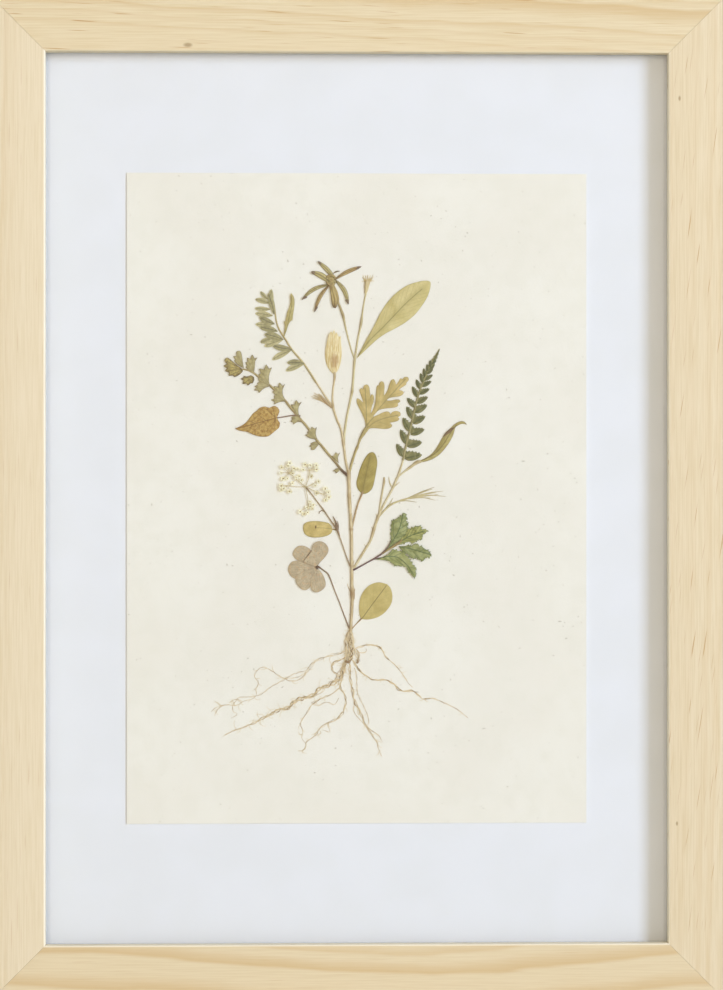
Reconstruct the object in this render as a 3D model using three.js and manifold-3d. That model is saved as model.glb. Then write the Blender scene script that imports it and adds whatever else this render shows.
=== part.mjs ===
// A plant collage of pressed stems, leaves, flowers and roots in a mitred pine frame.
// Millimetres, +Z up. The front looks towards -Y, the wall is the plane Y = 0, the nail is the origin.
import * as THREE from 'three';
import { mergeVertices } from 'three/addons/utils/BufferGeometryUtils.js';
import Module from 'manifold-3d';

const wasm = await Module();
wasm.setup();

// Moulding: the sight opening, the section of a rail and how far the nail sits below the top edge
const openingWide = 283;
const openingTall = 405;
const railFace = 25;
const railDepth = 20;
const lipDepth = 6;
const rebateWide = 8;
const arris = 0.8;
const nailDrop = 40;
const gap = 0.3;

// Sheets held behind the lip, named from the front to the back
const sheetWide = 297;
const sheetTall = 420;
const glassThick = 2;
const pressedSpace = 2.4;
const cardWide = 210;
const cardTall = 297;
const cardThick = 0.5;
const mountThick = 1.5;
const backThick = 2.5;

// Steel tabs pushed into the rails behind the back board
const tabWide = 6;
const tabLong = 16;
const tabThick = 0.5;
const tabSunk = 6;

// Sawtooth hanger riveted to the back board
const hangerWide = 46;
const hangerTall = 10;
const hangerThick = 0.6;
const hangerFoot = 10;
const hangerRise = 2.4;
const toothPitch = 2.6;
const toothDepth = 1.5;
const rivetRadius = 2;
const rivetThick = 0.5;

// Where the sheets come to lie
const outerWide = openingWide + 2 * railFace;
const outerTall = openingTall + 2 * railFace;
const centreZ = nailDrop - outerTall / 2;
const glassFront = -railDepth + lipDepth + gap;
const glassBack = glassFront + glassThick;
const cardFront = glassBack + pressedSpace;
const mountFront = cardFront + cardThick + gap;
const backFront = mountFront + mountThick + gap;
const backFace = backFront + backThick;

// Root collar of the plant, which all its pieces are measured from, right and up on the card
const collar = { x: -3, z: centreZ - 60 };

// Layers of the pressed space: stems fill it, leaves lie low on the card or high under the glass
const stemLayer = { back: cardFront - gap, thick: 1.3 };
const lowLayer = { back: cardFront - gap, thick: 0.6 };
const highLayer = { back: cardFront - 2 * gap - lowLayer.thick, thick: 0.6 };

// A closed mesh as a solid that can be joined to others or cut by them
function toSolid(geometry) {
  const bare = geometry.clone();
  bare.deleteAttribute('normal');
  bare.deleteAttribute('uv');
  const merged = mergeVertices(bare, 1e-4);
  const vertProperties = new Float32Array(merged.attributes.position.array);
  const triVerts = new Uint32Array(merged.index.array);
  return new wasm.Manifold(new wasm.Mesh({ numProp: 3, vertProperties, triVerts }));
}

function toGeometry(solid) {
  const { vertProperties, triVerts } = solid.getMesh();
  const geometry = new THREE.BufferGeometry();
  geometry.setAttribute('position', new THREE.BufferAttribute(vertProperties, 3));
  geometry.setIndex(new THREE.BufferAttribute(triVerts, 1));
  geometry.computeVertexNormals();
  return geometry;
}

function joined(solids) {
  return solids.reduce((whole, solid) => whole.add(solid));
}

// A flat piece of the plant with the outline's points given from the collar, made thicker by grow
function slab(outline, layer, grow = 0) {
  const shape = new THREE.Shape();
  shape.setFromPoints(outline.map(([right, up]) => new THREE.Vector2(collar.x + right, collar.z + up)));
  const geometry = new THREE.ExtrudeGeometry(shape, { depth: layer.thick + 2 * grow, bevelEnabled: false });
  geometry.rotateX(Math.PI / 2);
  geometry.translate(0, layer.back + grow, 0);
  return toSolid(geometry);
}

// A stalk or root through the given points, tapering from its foot to its tip
function stalk(points, wideAtFoot, wideAtTip, layer, grow = 0) {
  const route = new THREE.SplineCurve(points.map(([right, up]) => new THREE.Vector2(right, up)));
  const steps = points.length > 2 ? points.length : 1;
  const left = [];
  const right = [];
  for (let step = 0; step <= steps; step += 1) {
    const along = step / steps;
    const spot = route.getPoint(along);
    const way = route.getTangent(along);
    const half = (wideAtFoot + (wideAtTip - wideAtFoot) * along) / 2 + grow;
    left.push([spot.x - way.y * half, spot.y + way.x * half]);
    right.push([spot.x + way.y * half, spot.y - way.x * half]);
  }
  return slab([...left, ...right.reverse()], layer, grow);
}

// A leaf blade: bow bends the midrib to the left of its way, fullest is where it is widest along the
// midrib, and blunt below 1 rounds the ends
function blade(foot, tip, wide, layer, { bow = 0, fullest = 0.5, blunt = 0.8, steps = 7 } = {}) {
  const way = new THREE.Vector2(tip[0] - foot[0], tip[1] - foot[1]);
  const long = way.length();
  way.normalize();
  const place = (along, aside) => [
    foot[0] + way.x * along * long - way.y * aside,
    foot[1] + way.y * along * long + way.x * aside,
  ];
  const stretch = Math.log(0.5) / Math.log(fullest);
  const left = [];
  const right = [];
  for (let step = 1; step < steps; step += 1) {
    const along = step / steps;
    const half = (wide / 2) * Math.sin(Math.PI * along ** stretch) ** blunt;
    const middle = bow * Math.sin(Math.PI * along);
    left.push(place(along, middle + half));
    right.push(place(along, middle - half));
  }
  return slab([foot, ...left, tip, ...right.reverse()], layer);
}

// A closed smooth outline through the given points
function smooth(points, layer, steps = points.length * 2) {
  const corners = points.map(([right, up]) => new THREE.Vector3(right, up, 0));
  const ring = new THREE.CatmullRomCurve3(corners, true).getPoints(steps).slice(0, -1);
  return slab(ring.map((spot) => [spot.x, spot.y]), layer);
}

// A leaf edge with sharp teeth: every other point of the smooth outline is pushed out
function toothed(points, depth, layer) {
  const corners = points.map(([right, up]) => new THREE.Vector3(right, up, 0));
  const edge = new THREE.CatmullRomCurve3(corners, true);
  const steps = points.length * 4;
  const ring = [];
  for (let step = 0; step < steps; step += 1) {
    const spot = edge.getPoint(step / steps);
    const way = edge.getTangent(step / steps);
    const out = step % 2 ? depth : 0;
    ring.push([spot.x + way.y * out, spot.y - way.x * out]);
  }
  return slab(ring, layer);
}

// A fan-shaped leaflet with blunt teeth along its outer edge
function fan(foot, tip, wide, layer, teeth = 4) {
  const way = new THREE.Vector2(tip[0] - foot[0], tip[1] - foot[1]);
  const long = way.length();
  const turn = way.angle();
  const spread = 2 * Math.asin(Math.min(1, wide / (2 * long)));
  const ring = [foot];
  for (let step = 0; step <= 2 * teeth; step += 1) {
    const angle = turn + spread * (0.5 - step / (2 * teeth));
    const reach = long * (step % 2 ? 1 : 0.84);
    ring.push([foot[0] + reach * Math.cos(angle), foot[1] + reach * Math.sin(angle)]);
  }
  return slab(ring, layer);
}

// A round of a few flats: a floret or a petal
function round(centre, radius, layer, flats) {
  const ring = [];
  for (let flat = 0; flat < flats; flat += 1) {
    const angle = (2 * Math.PI * flat) / flats;
    ring.push([centre[0] + radius * Math.cos(angle), centre[1] + radius * Math.sin(angle)]);
  }
  return slab(ring, layer);
}

// Stems. Each takes grow, so that what meets it can be cut back to leave the gap
const mainStem = (grow = 0) => stalk(
  [[0, 0], [0, 6.4], [0.5, 16], [0.2, 29], [0.1, 39], [0, 46], [-0.7, 57], [-1.1, 70.4]],
  2.2, 1.5, stemLayer, grow,
);

const leftFork = (grow = 0) => joined([
  stalk([[-1.2, 69.6], [-2.6, 77.4], [-3.4, 85], [-4.6, 91], [-8.4, 101.6]], 1.3, 1.1, stemLayer, grow),
  stalk([[-8.3, 101], [-8.5, 107.8], [-7.7, 116.6]], 1.1, 1, stemLayer, grow),
]);

const centreFork = (grow = 0) => joined([
  stalk([[-3.4, 85.4], [-2.8, 89.5], [-1, 103.7], [0.7, 109], [2.1, 124.4]], 1.2, 1.2, stemLayer, grow),
  stalk([[2, 123.6], [3.1, 132.4], [4.6, 140.6], [5.8, 148.7], [6.6, 153]], 1.1, 0.9, stemLayer, grow),
]);

const starStem = (grow = 0) => stalk(
  [[1.8, 123.5], [-0.6, 130], [-1.8, 135.3], [-3.6, 142.6], [-6.4, 146.4]], 1, 1, stemLayer, grow,
);

const rightBranch = (grow = 0) => joined([
  stalk(
    [[0.6, 26.6], [4.8, 34], [8.5, 39.6], [10.5, 45.4], [14.1, 55.3], [19.4, 65.1], [21.4, 70], [24.1, 77.8]],
    1.7, 0.9, stemLayer, grow,
  ),
  stalk([[12.5, 52], [13.7, 61], [14.9, 67.1], [15.1, 69.6]], 1, 0.9, stemLayer, grow),
  stalk([[18.6, 63.6], [17.3, 69.2]], 0.8, 0.5, stemLayer, grow),
  stalk([[19.2, 64.6], [21.9, 67.1]], 0.8, 0.5, stemLayer, grow),
]);

// Heads, buds and flowers
function starSeedHead() {
  const heart = [-9.5, 159.3];
  const arms = [
    [[-14.8, 168], 2.2, 0], [[-17.9, 163.3], 2.3, 0], [[-22.3, 150.8], 2, 1.6], [[-16.4, 145.2], 2, 1.6],
    [[-1.2, 148.7], 2.1, -1.2], [[4.6, 165.8], 2.1, -0.6], [[-5.2, 163.8], 1, 0.4],
  ];
  const bud = blade(heart, [-7.3, 147.3], 3.6, stemLayer, { fullest: 0.6, blunt: 0.5 });
  return joined([
    bud,
    round(heart, 1.6, stemLayer, 10),
    ...arms.map(([tip, wide, bow]) => blade(heart, tip, wide, stemLayer, { bow, blunt: 0.5 })),
  ]);
}

function flowerTuft() {
  const bristles = [[5.4, 161], [7.2, 161.8], [8.9, 161.3], [10.3, 160.8]];
  const cup = blade([6.7, 153.4], [7.6, 159], 3.2, stemLayer, { fullest: 0.7, blunt: 0.5 });
  return joined([cup, ...bristles.map((tip) => stalk([[7.1, 157], tip], 1.1, 0.5, stemLayer))]);
}

function yellowBud() {
  const petalTips = [[-9.9, 134.8], [-8.2, 136.6], [-6.4, 135.6], [-5.2, 133.6]];
  const body = blade([-7.8, 117], [-7.8, 135], 7.8, lowLayer, { fullest: 0.42, blunt: 0.6, steps: 10 });
  return joined([body, ...petalTips.map((tip) => blade([-7.8, 124], tip, 2.6, lowLayer, { blunt: 0.6 }))]);
}

function bract() {
  return joined([
    blade([-9.6, 102.4], [-17.4, 107.8], 2, highLayer, { fullest: 0.55 }),
    blade([-12.4, 104.2], [-13.6, 108.3], 1.3, highLayer),
  ]);
}

function lilacFlower() {
  const petals = [[-13.9, 36.4], [-22.4, 34.8], [-24.9, 27.9], [-21.2, 21.9], [-15.1, 21.4]];
  return joined([
    round([-19.2, 28.8], 6.2, lowLayer, 12),
    ...petals.map((centre) => round(centre, 4, lowLayer, 12)),
    stalk([[-16, 29], [-13.5, 28.2], [-10.2, 25.1], [-8.7, 21.4], [-5.3, 12.4], [-0.6, 0.6]], 0.9, 0.6, lowLayer),
  ]);
}

function umbel() {
  const hub = [-20.7, 65.3];
  const heads = [
    [[-28, 72], [[-31.7, 74.4], [-28.2, 75.8], [-24.8, 73.8], [-31.7, 72], [-30.9, 69.1], [-28.3, 69.4]]],
    [[-26, 69.2], [[-26.6, 67.1], [-23.5, 70.4]]],
    [[-28.8, 66], [[-31.9, 65.9], [-31.4, 63.9], [-27.6, 63.5]]],
    [[-18.9, 72.8], [[-21.7, 73.2], [-20.7, 75.6], [-18.5, 75.4], [-15.8, 75.4], [-15.8, 73.4], [-17.9, 70.1]]],
    [[-16.9, 67], [[-14.6, 67.9], [-14.4, 66.4]]],
    [[-12.6, 62.2], [[-15.6, 62.6], [-11.8, 64.7], [-10.1, 63], [-10.1, 60.8], [-11.4, 59.2]]],
    [[-20.4, 57], [[-18.3, 58.2], [-17.4, 56.4], [-22.8, 54.1], [-20.7, 53.1], [-18.3, 54.9]]],
  ];
  const rays = heads.map(([centre]) => stalk([hub, centre], 0.5, 0.4, highLayer));
  const pedicels = heads.flatMap(([centre, florets]) => florets.map(
    (floret) => stalk([centre, floret], 0.35, 0.35, highLayer),
  ));
  const florets = heads.flatMap(([, spots]) => spots.map((spot) => round(spot, 0.95, highLayer, 6)));
  return joined([
    stalk([hub, [-15.9, 59.2], [-11.8, 53.9], [-6.1, 45.8], [-3.7, 38.9], [0, 27.5]], 0.6, 0.8, highLayer),
    stalk([[-11.6, 53.6], [-14, 53.3], [-14.4, 52]], 0.7, 0.4, highLayer),
    blade([-5.6, 44.6], [-8.2, 52.2], 1.7, highLayer),
    ...rays, ...pedicels, ...florets,
  ]);
}

function spikyTuft() {
  const spikes = [[38.1, 64.7], [37.7, 63.3], [41.8, 63.1], [43.4, 60.8], [38.5, 59.4], [29.6, 58.6]];
  return joined([
    stalk([[13.4, 52.2], [16.1, 55.3], [19, 57.8], [23.5, 59.4], [29, 60.9]], 1.1, 0.9, stemLayer),
    stalk([[17.4, 56.4], [19.2, 60.1]], 0.7, 0.4, stemLayer),
    ...spikes.map((tip) => stalk([[23.2, 59.3], [(23.2 + tip[0]) / 2, 57 + tip[0] / 10], tip], 0.9, 0.35, stemLayer)),
  ]);
}

// Leaves
function vetchLeaf() {
  const leaflets = [
    [[-36.2, 155.4], [-36.2, 148.7], 2.4], [[-41, 154.6], [-37.4, 150], 2.4], [[-37.6, 153.5], [-35.1, 146.6], 2.6],
    [[-43.3, 150.8], [-36.6, 148.8], 2.6], [[-43.9, 146.7], [-35.6, 146.2], 2.8], [[-43.7, 144.2], [-34.9, 143], 2.8],
    [[-41.9, 142], [-34.3, 139.7], 2.4], [[-43.5, 139.7], [-34.2, 138.8], 2.6], [[-41.6, 138], [-32.8, 136.2], 3],
    [[-39, 135.1], [-30.7, 132.8], 3.1], [[-41, 131.2], [-31.6, 133], 2.8], [[-39.4, 129.4], [-30.5, 132.4], 3],
    [[-35.6, 129.6], [-26.8, 127.6], 3.2], [[-35.8, 123.3], [-26.8, 127.4], 3.2],
    [[-29.6, 122], [-21.3, 121.4], 3.1], [[-29.9, 118.4], [-21.3, 121.2], 3.1],
  ];
  return joined([
    stalk([
      [-9, 102.2], [-13.8, 109.3], [-21.5, 121.4], [-27, 128], [-30.5, 133.2], [-32.9, 136.9], [-34.4, 140.5],
      [-35, 144], [-36.4, 150],
    ], 1, 0.5, lowLayer),
    ...leaflets.map(([tip, foot, wide]) => blade(foot, tip, wide, lowLayer, { blunt: 0.7, steps: 5 })),
  ]);
}

function burnetLeaf() {
  const leaflets = [
    [[-53.3, 119.4], [-47.4, 118.7], 8.4], [[-50.6, 127.2], [-48.4, 118.6], 4.6], [[-44.8, 125.4], [-44, 117], 5],
    [[-50, 114.7], [-43.7, 117.3], 3.6], [[-36.9, 120.2], [-38.2, 112.4], 4.4], [[-43.6, 111.2], [-38.4, 112.8], 4],
    [[-31.2, 112.4], [-31, 106], 3.8], [[-34.8, 104.4], [-30.6, 106], 3.6], [[-23.7, 104.4], [-24.8, 98.6], 3.6],
    [[-26.5, 95], [-22.8, 96.6], 3.2], [[-15.7, 92.5], [-17, 88.4], 3.4], [[-20.4, 89.4], [-16.6, 88.2], 3],
    [[-17.4, 82.5], [-13.8, 85.2], 3.2], [[-5.6, 80.8], [-8, 77.4], 2.6], [[-7.6, 71.8], [-4.8, 73.8], 2.2],
  ];
  const rachis = [
    [-49.4, 118.9], [-43.9, 117.4], [-37.4, 112.1], [-29.7, 104.9], [-23.5, 97.6], [-19.1, 91.1], [-11.8, 82.2],
    [-5.2, 74.4], [-1, 70.2],
  ];
  return joined([
    stalk(rachis, 0.7, 1.1, highLayer),
    ...leaflets.map(([tip, foot, wide]) => fan(foot, tip, wide, highLayer)),
  ]);
}

function fernFrond() {
  const rachis = [[24, 77], [27.4, 90.8], [29.4, 101.7], [32.8, 111.8], [36, 119], [40.5, 128.1]];
  const route = new THREE.SplineCurve(rachis.map(([right, up]) => new THREE.Vector2(right, up)));
  const pairs = 14;
  const pinnae = [];
  for (let pair = 0; pair < pairs; pair += 1) {
    const along = 0.04 + 0.86 * (pair / pairs) ** 0.9;
    const foot = route.getPoint(along);
    const lean = route.getTangent(along).angle();
    const long = 8.2 * (1 - along) + 0.6;
    [[-1.15, long], [0.7, long * 0.82]].forEach(([turn, reach]) => {
      const angle = lean + turn;
      const tip = [foot.x + reach * Math.cos(angle), foot.y + reach * Math.sin(angle)];
      pinnae.push(blade([foot.x, foot.y], tip, reach * 0.5, lowLayer, { fullest: 0.42, blunt: 0.6, steps: 5 }));
    });
  }
  return joined([stalk(rachis, 1, 0.5, lowLayer), ...pinnae]);
}

function lobedLeaf() {
  const lobes = [
    [[6.2, 90.5], [7, 111.8], 6.4], [[6.8, 96], [2.6, 105.5], 3.6], [[7.2, 101], [9.6, 108], 2.8],
    [[6.2, 90.5], [26.3, 115.2], 5.6], [[11.2, 99], [13.8, 113.6], 4.8], [[15.4, 103.6], [19.2, 114.5], 3.6],
    [[15, 103], [23.9, 108], 3.2], [[12, 99.6], [22.6, 104], 3.8],
    [[6, 90.5], [22.8, 99.8], 6.8], [[12.6, 95.2], [22, 96.2], 3.4], [[8.4, 92], [18.6, 93], 3.8],
  ];
  return joined([
    stalk([[-0.8, 70], [0.3, 75.2], [1.9, 80.5], [4.3, 87], [7.2, 93.5]], 1, 0.9, lowLayer),
    ...lobes.map(([foot, tip, wide]) => blade(foot, tip, wide, lowLayer, { fullest: 0.66, blunt: 0.55 })),
  ]);
}

function serratedLeaf() {
  const leaflets = [
    [[14.6, 35.2], [17.4, 39.2], [18.2, 45.3], [19, 50], [23.8, 53.6], [26.2, 50], [26.6, 46.2], [22, 40.4]],
    [[23, 40.4], [25.3, 44.2], [28.6, 46.8], [32.6, 46.6], [35, 45.2], [32.2, 42.2], [28.4, 39.8]],
    [[21.8, 38], [26, 38.9], [30.2, 40], [33.2, 38.2], [36.9, 34.8], [31.8, 32.2], [27.4, 34.2]],
    [[11.6, 32.4], [17, 34.8], [22, 36.8], [26.6, 33.4], [29.8, 28.6], [29, 24.4], [25.6, 28.2], [19, 30]],
  ];
  return joined([
    stalk([[0.8, 26.8], [10, 32], [14.9, 35.2], [20.5, 38.7], [24, 40.8]], 1.1, 0.8, highLayer),
    ...leaflets.map((outline) => toothed(outline.reverse(), 0.5, highLayer)),
  ]);
}

function heartLeaf() {
  return joined([
    smooth([
      [-52.7, 91.9], [-47.6, 95.2], [-41.5, 100.6], [-37.4, 101.9], [-33.6, 101.4], [-32.6, 98.6], [-33.5, 96],
      [-32.5, 93.6], [-35.4, 90], [-39.6, 88.4], [-46.4, 90.4],
    ], lowLayer),
    stalk([[-34, 96.2], [-29.7, 97.4], [-23.4, 97.7]], 0.7, 0.6, lowLayer),
  ]);
}

function ovalLeaf() {
  return joined([
    blade([-7.9, 46.4], [-21.8, 46.4], 7.6, lowLayer, { blunt: 0.45, steps: 10 }),
    stalk([[-8.6, 46.1], [-6.5, 45.5]], 0.7, 0.6, lowLayer),
  ]);
}

function roundLeaf() {
  return joined([
    smooth([
      [4.9, 5.2], [4.1, 10.5], [5.4, 16.6], [9, 20.8], [14.2, 21.8], [18.2, 18.8], [18.5, 13.6], [15.4, 8.4],
      [10, 5.6],
    ], lowLayer),
    stalk([[5.6, 6], [0.4, 0.6]], 0.7, 0.6, lowLayer),
  ]);
}

function longOvalLeaf() {
  return joined([
    blade([5.2, 62], [9.6, 81.6], 8.7, lowLayer, { blunt: 0.5, steps: 10 }),
    stalk([[5.3, 63], [3.7, 59], [1.6, 51], [-0.2, 44]], 0.8, 0.9, lowLayer),
  ]);
}

function lanceLeaf() {
  return smooth([
    [2.9, 124.2], [9.6, 136.7], [13.2, 143.9], [19, 152], [25.1, 156.8], [30.8, 159.3], [36.2, 159], [35.6, 153.8],
    [29.6, 144.2], [23.5, 139.2], [16.5, 135.5], [9.5, 130.6],
  ], highLayer);
}

function smallCurvedLeaf() {
  return blade([-30.5, 133.2], [-27.2, 153.5], 3.9, highLayer, { bow: -1.2, fullest: 0.55 });
}

function curledLeaf() {
  return joined([
    smooth([
      [30.8, 76.8], [34.4, 77], [39.7, 79.3], [43.9, 83.6], [46.6, 87.9], [47.6, 91.6], [49.9, 93.7], [52.5, 94.3],
      [51.1, 95.4], [47.8, 94.8], [43.4, 91.2], [40.4, 85.8], [36.2, 79.8],
    ], lowLayer),
    stalk([[31.4, 77.1], [27.1, 74], [21.3, 69.5]], 0.9, 0.8, lowLayer),
  ]);
}

// Roots, from the collar down
const crown = (grow = 0) => joined([
  stalk([[0, -0.4], [-0.7, -5], [-0.6, -14.6]], 2.4, 3.4, stemLayer, grow),
  stalk([[-1.4, -3], [-2.4, -9], [-1.2, -14.4]], 1.2, 1, stemLayer, grow),
]);

function rootLeftUpper() {
  const strand = [
    [-1.5, -9], [-5, -10.9], [-15, -13.3], [-20, -18.7], [-22, -21.9], [-27.8, -23.5], [-35.1, -19.4],
    [-40.6, -17], [-44, -21.1], [-42.1, -24.3], [-43.4, -30.1], [-52.5, -34.6], [-57.4, -34.3], [-63.5, -37.4],
  ];
  return joined([
    stalk(strand, 0.7, 0.4, lowLayer),
    stalk([[-19.6, -18.2], [-31, -23.1], [-42.4, -30.1], [-51, -31.6], [-52.8, -34.6]], 0.5, 0.5, lowLayer),
    stalk([[-52.6, -34.4], [-53.4, -37], [-51.7, -38.5], [-54.5, -40.4]], 0.5, 0.4, lowLayer),
  ]);
}

const rootLeftLong = (grow = 0) => joined([
  stalk([
    [-1.8, -12.8], [-3, -17.5], [-5, -23.6], [-10.6, -25.7], [-18.8, -31], [-26.1, -33.3], [-32.2, -36.4],
    [-46, -43.5], [-57.4, -48.1],
  ], 1.3, 0.4, lowLayer, grow),
  stalk([[-1.6, -12], [-5, -13.7], [-8.6, -17], [-6.4, -20.4], [-5.6, -24]], 0.7, 0.7, lowLayer, grow),
]);

function rootLeftLower() {
  return stalk(
    [[-5.2, -26.8], [-11.8, -30.8], [-18.4, -35], [-22.8, -42.6], [-21.8, -46], [-22, -49.6]],
    0.6, 0.4, highLayer,
  );
}

function rootLeftDown() {
  return stalk([
    [-5.4, -23.8], [-3.4, -28.2], [-2.6, -34.6], [-3.9, -38.6], [-11.8, -43.5], [-16.3, -48.3], [-20.2, -51.4],
    [-21.8, -55.2], [-23.7, -55.3],
  ], 0.9, 0.5, lowLayer);
}

function rootDown() {
  return joined([
    stalk([
      [-0.2, -13.4], [-0.1, -21.6], [1.8, -32.5], [4, -36.9], [7.4, -44.6], [12.2, -51.7], [14.1, -57.8],
    ], 1.2, 0.5, lowLayer),
    stalk([[7, -43.8], [12.7, -48.2], [14.4, -51.2]], 0.6, 0.3, lowLayer),
    stalk([[-0.1, -17.8], [2.6, -20.6], [3.4, -28.6], [5.7, -34.6], [7.6, -44.8]], 0.5, 0.5, lowLayer),
  ]);
}

function rootRightUpper() {
  return joined([
    stalk([
      [0.2, -9.6], [3.1, -8.3], [7.9, -7], [14, -8.5], [16.6, -12.9], [23.5, -19.9], [28.3, -26.4],
    ], 0.6, 0.5, lowLayer),
    stalk([[2.2, -8.5], [3.6, -10.4], [7.4, -9.8]], 0.6, 0.5, lowLayer),
    stalk([[2.2, -8.7], [3, -12], [3.8, -14]], 0.6, 0.5, lowLayer),
  ]);
}

function rootRightLong() {
  return stalk([
    [0, -13.2], [3.1, -17.4], [9.1, -22.5], [14.8, -23.1], [22.7, -27.9], [28.3, -28.1], [33.2, -31.6],
    [37.9, -31.6], [49.2, -36.9], [53.6, -40.3],
  ], 0.9, 0.35, lowLayer);
}

// Frame: one L-shaped rail along X, its outer edge at Z = 0 and its mitred ends closing on the centre
function rail(long) {
  const section = new THREE.Shape();
  section.moveTo(0, 0);
  section.lineTo(0, railDepth - arris);
  section.lineTo(arris, railDepth);
  section.lineTo(railFace - arris, railDepth);
  section.lineTo(railFace, railDepth - arris);
  section.lineTo(railFace, railDepth - lipDepth);
  section.lineTo(railFace - rebateWide, railDepth - lipDepth);
  section.lineTo(railFace - rebateWide, 0);
  const geometry = new THREE.ExtrudeGeometry(section, { depth: 2, bevelEnabled: false });
  const spots = geometry.attributes.position;
  for (let index = 0; index < spots.count; index += 1) {
    const inward = spots.getX(index);
    const forward = spots.getY(index);
    const half = long / 2 - inward - gap / Math.SQRT2;
    spots.setXYZ(index, half * (1 - spots.getZ(index)), -forward, -inward);
  }
  return toSolid(geometry);
}

// A tab lies flat behind the back board, its sunk end in the rail above it
function tab(spare = 0) {
  const wide = tabWide + 2 * spare;
  const long = tabLong + 2 * spare;
  const geometry = new THREE.BoxGeometry(wide, tabThick + 2 * spare, long);
  geometry.translate(0, backFace + gap + tabThick / 2, -(railFace - rebateWide) + tabSunk - tabLong / 2);
  return geometry;
}

// Where each rail goes: the turn about Y, the way out from the centre to its outer edge and its tabs
const sides = [
  { name: 'top', turn: 0, out: outerTall / 2, long: outerWide, tabs: [-80, 80] },
  { name: 'right', turn: Math.PI / 2, out: outerWide / 2, long: outerTall, tabs: [-140, 0, 140] },
  { name: 'bottom', turn: Math.PI, out: outerTall / 2, long: outerWide, tabs: [-80, 80] },
  { name: 'left', turn: -Math.PI / 2, out: outerWide / 2, long: outerTall, tabs: [-140, 0, 140] },
];

function placed(mesh, side) {
  const holder = new THREE.Group();
  holder.rotation.y = side.turn;
  holder.position.set(side.out * Math.sin(side.turn), 0, centreZ + side.out * Math.cos(side.turn));
  holder.add(mesh);
  return holder;
}

// Sawtooth hanger: a strip with two feet on the board and a raised middle with teeth cut below
function hanger() {
  const half = hangerWide / 2;
  const board = backFace + gap;
  const profile = new THREE.Shape();
  profile.moveTo(-half, board);
  profile.lineTo(-half + hangerFoot, board);
  profile.lineTo(-half + hangerFoot + hangerRise, board + hangerRise);
  profile.lineTo(half - hangerFoot - hangerRise, board + hangerRise);
  profile.lineTo(half - hangerFoot, board);
  profile.lineTo(half, board);
  profile.lineTo(half, board + hangerThick);
  profile.lineTo(half - hangerFoot + hangerThick / 2, board + hangerThick);
  profile.lineTo(half - hangerFoot - hangerRise + hangerThick / 2, board + hangerRise + hangerThick);
  profile.lineTo(-half + hangerFoot + hangerRise - hangerThick / 2, board + hangerRise + hangerThick);
  profile.lineTo(-half + hangerFoot - hangerThick / 2, board + hangerThick);
  profile.lineTo(-half, board + hangerThick);
  const strip = new THREE.ExtrudeGeometry(profile, { depth: hangerTall, bevelEnabled: false });
  strip.translate(0, 0, -toothDepth);
  let solid = toSolid(strip);
  const teeth = 7;
  for (let tooth = 0; tooth < teeth; tooth += 1) {
    const notch = new THREE.CylinderGeometry(toothDepth, toothDepth, railDepth, 4);
    notch.scale(toothPitch / toothDepth / 2.1, 1, 1);
    notch.translate((tooth - (teeth - 1) / 2) * toothPitch, 0, -toothDepth);
    solid = solid.subtract(toSolid(notch));
  }
  return solid;
}

function rivet(side) {
  const geometry = new THREE.CylinderGeometry(rivetRadius * 0.7, rivetRadius, rivetThick, 16);
  const place = side * (hangerWide / 2 - hangerFoot / 2);
  geometry.translate(place, backFace + 2 * gap + hangerThick + rivetThick / 2, hangerTall / 2 - toothDepth);
  return geometry;
}

function sheet(wide, tall, thick, front) {
  const geometry = new THREE.BoxGeometry(wide, thick, tall);
  geometry.translate(0, front + thick / 2, centreZ);
  return geometry;
}

// Colours as they look in daylight
const finish = (color, roughness, metalness = 0) => new THREE.MeshStandardMaterial({ color, roughness, metalness });
const pine = finish('#e6d7b4', 0.6);
const glass = finish('#f2f7f6', 0.03);
glass.transparent = true;
glass.opacity = 0.25;
const whiteBoard = finish('#eaebee', 0.9);
const creamCard = finish('#eeebdf', 0.9);
const fibreboard = finish('#9c7a55', 0.85);
const steel = finish('#b9bcc0', 0.35, 1);
const straw = finish('#c6ac79', 0.8);
const olive = finish('#b3ab7e', 0.85);
const green = finish('#8c9a6a', 0.85);
const darkGreen = finish('#767a54', 0.85);
const tan = finish('#c4b076', 0.85);
const rust = finish('#be9650', 0.85);
const cream = finish('#e8deb0', 0.85);
const lilac = finish('#baa898', 0.85);
const brown = finish('#8b7d5a', 0.85);

const frame = new THREE.Group();
const keep = (name, geometry, material) => {
  const mesh = new THREE.Mesh(geometry, material);
  mesh.name = name;
  return mesh;
};

for (const side of sides) {
  let solid = rail(side.long);
  side.tabs.forEach((along) => {
    solid = solid.subtract(toSolid(tab(gap)).translate(along, 0, 0));
  });
  frame.add(placed(keep(`rail_${side.name}`, toGeometry(solid), pine), side));
  side.tabs.forEach((along, index) => {
    const mesh = keep(`tab_${side.name}_${index + 1}`, tab(), steel);
    mesh.position.x = along;
    frame.add(placed(mesh, side));
  });
}

frame.add(keep('glass_pane', sheet(sheetWide, sheetTall, glassThick, glassFront), glass));
frame.add(keep('cream_card', sheet(cardWide, cardTall, cardThick, cardFront), creamCard));
frame.add(keep('white_mount_board', sheet(sheetWide, sheetTall, mountThick, mountFront), whiteBoard));
frame.add(keep('back_board', sheet(sheetWide, sheetTall, backThick, backFront), fibreboard));
frame.add(keep('sawtooth_hanger', toGeometry(hanger()), steel));
frame.add(keep('hanger_rivet_left', rivet(-1), steel));
frame.add(keep('hanger_rivet_right', rivet(1), steel));

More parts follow.
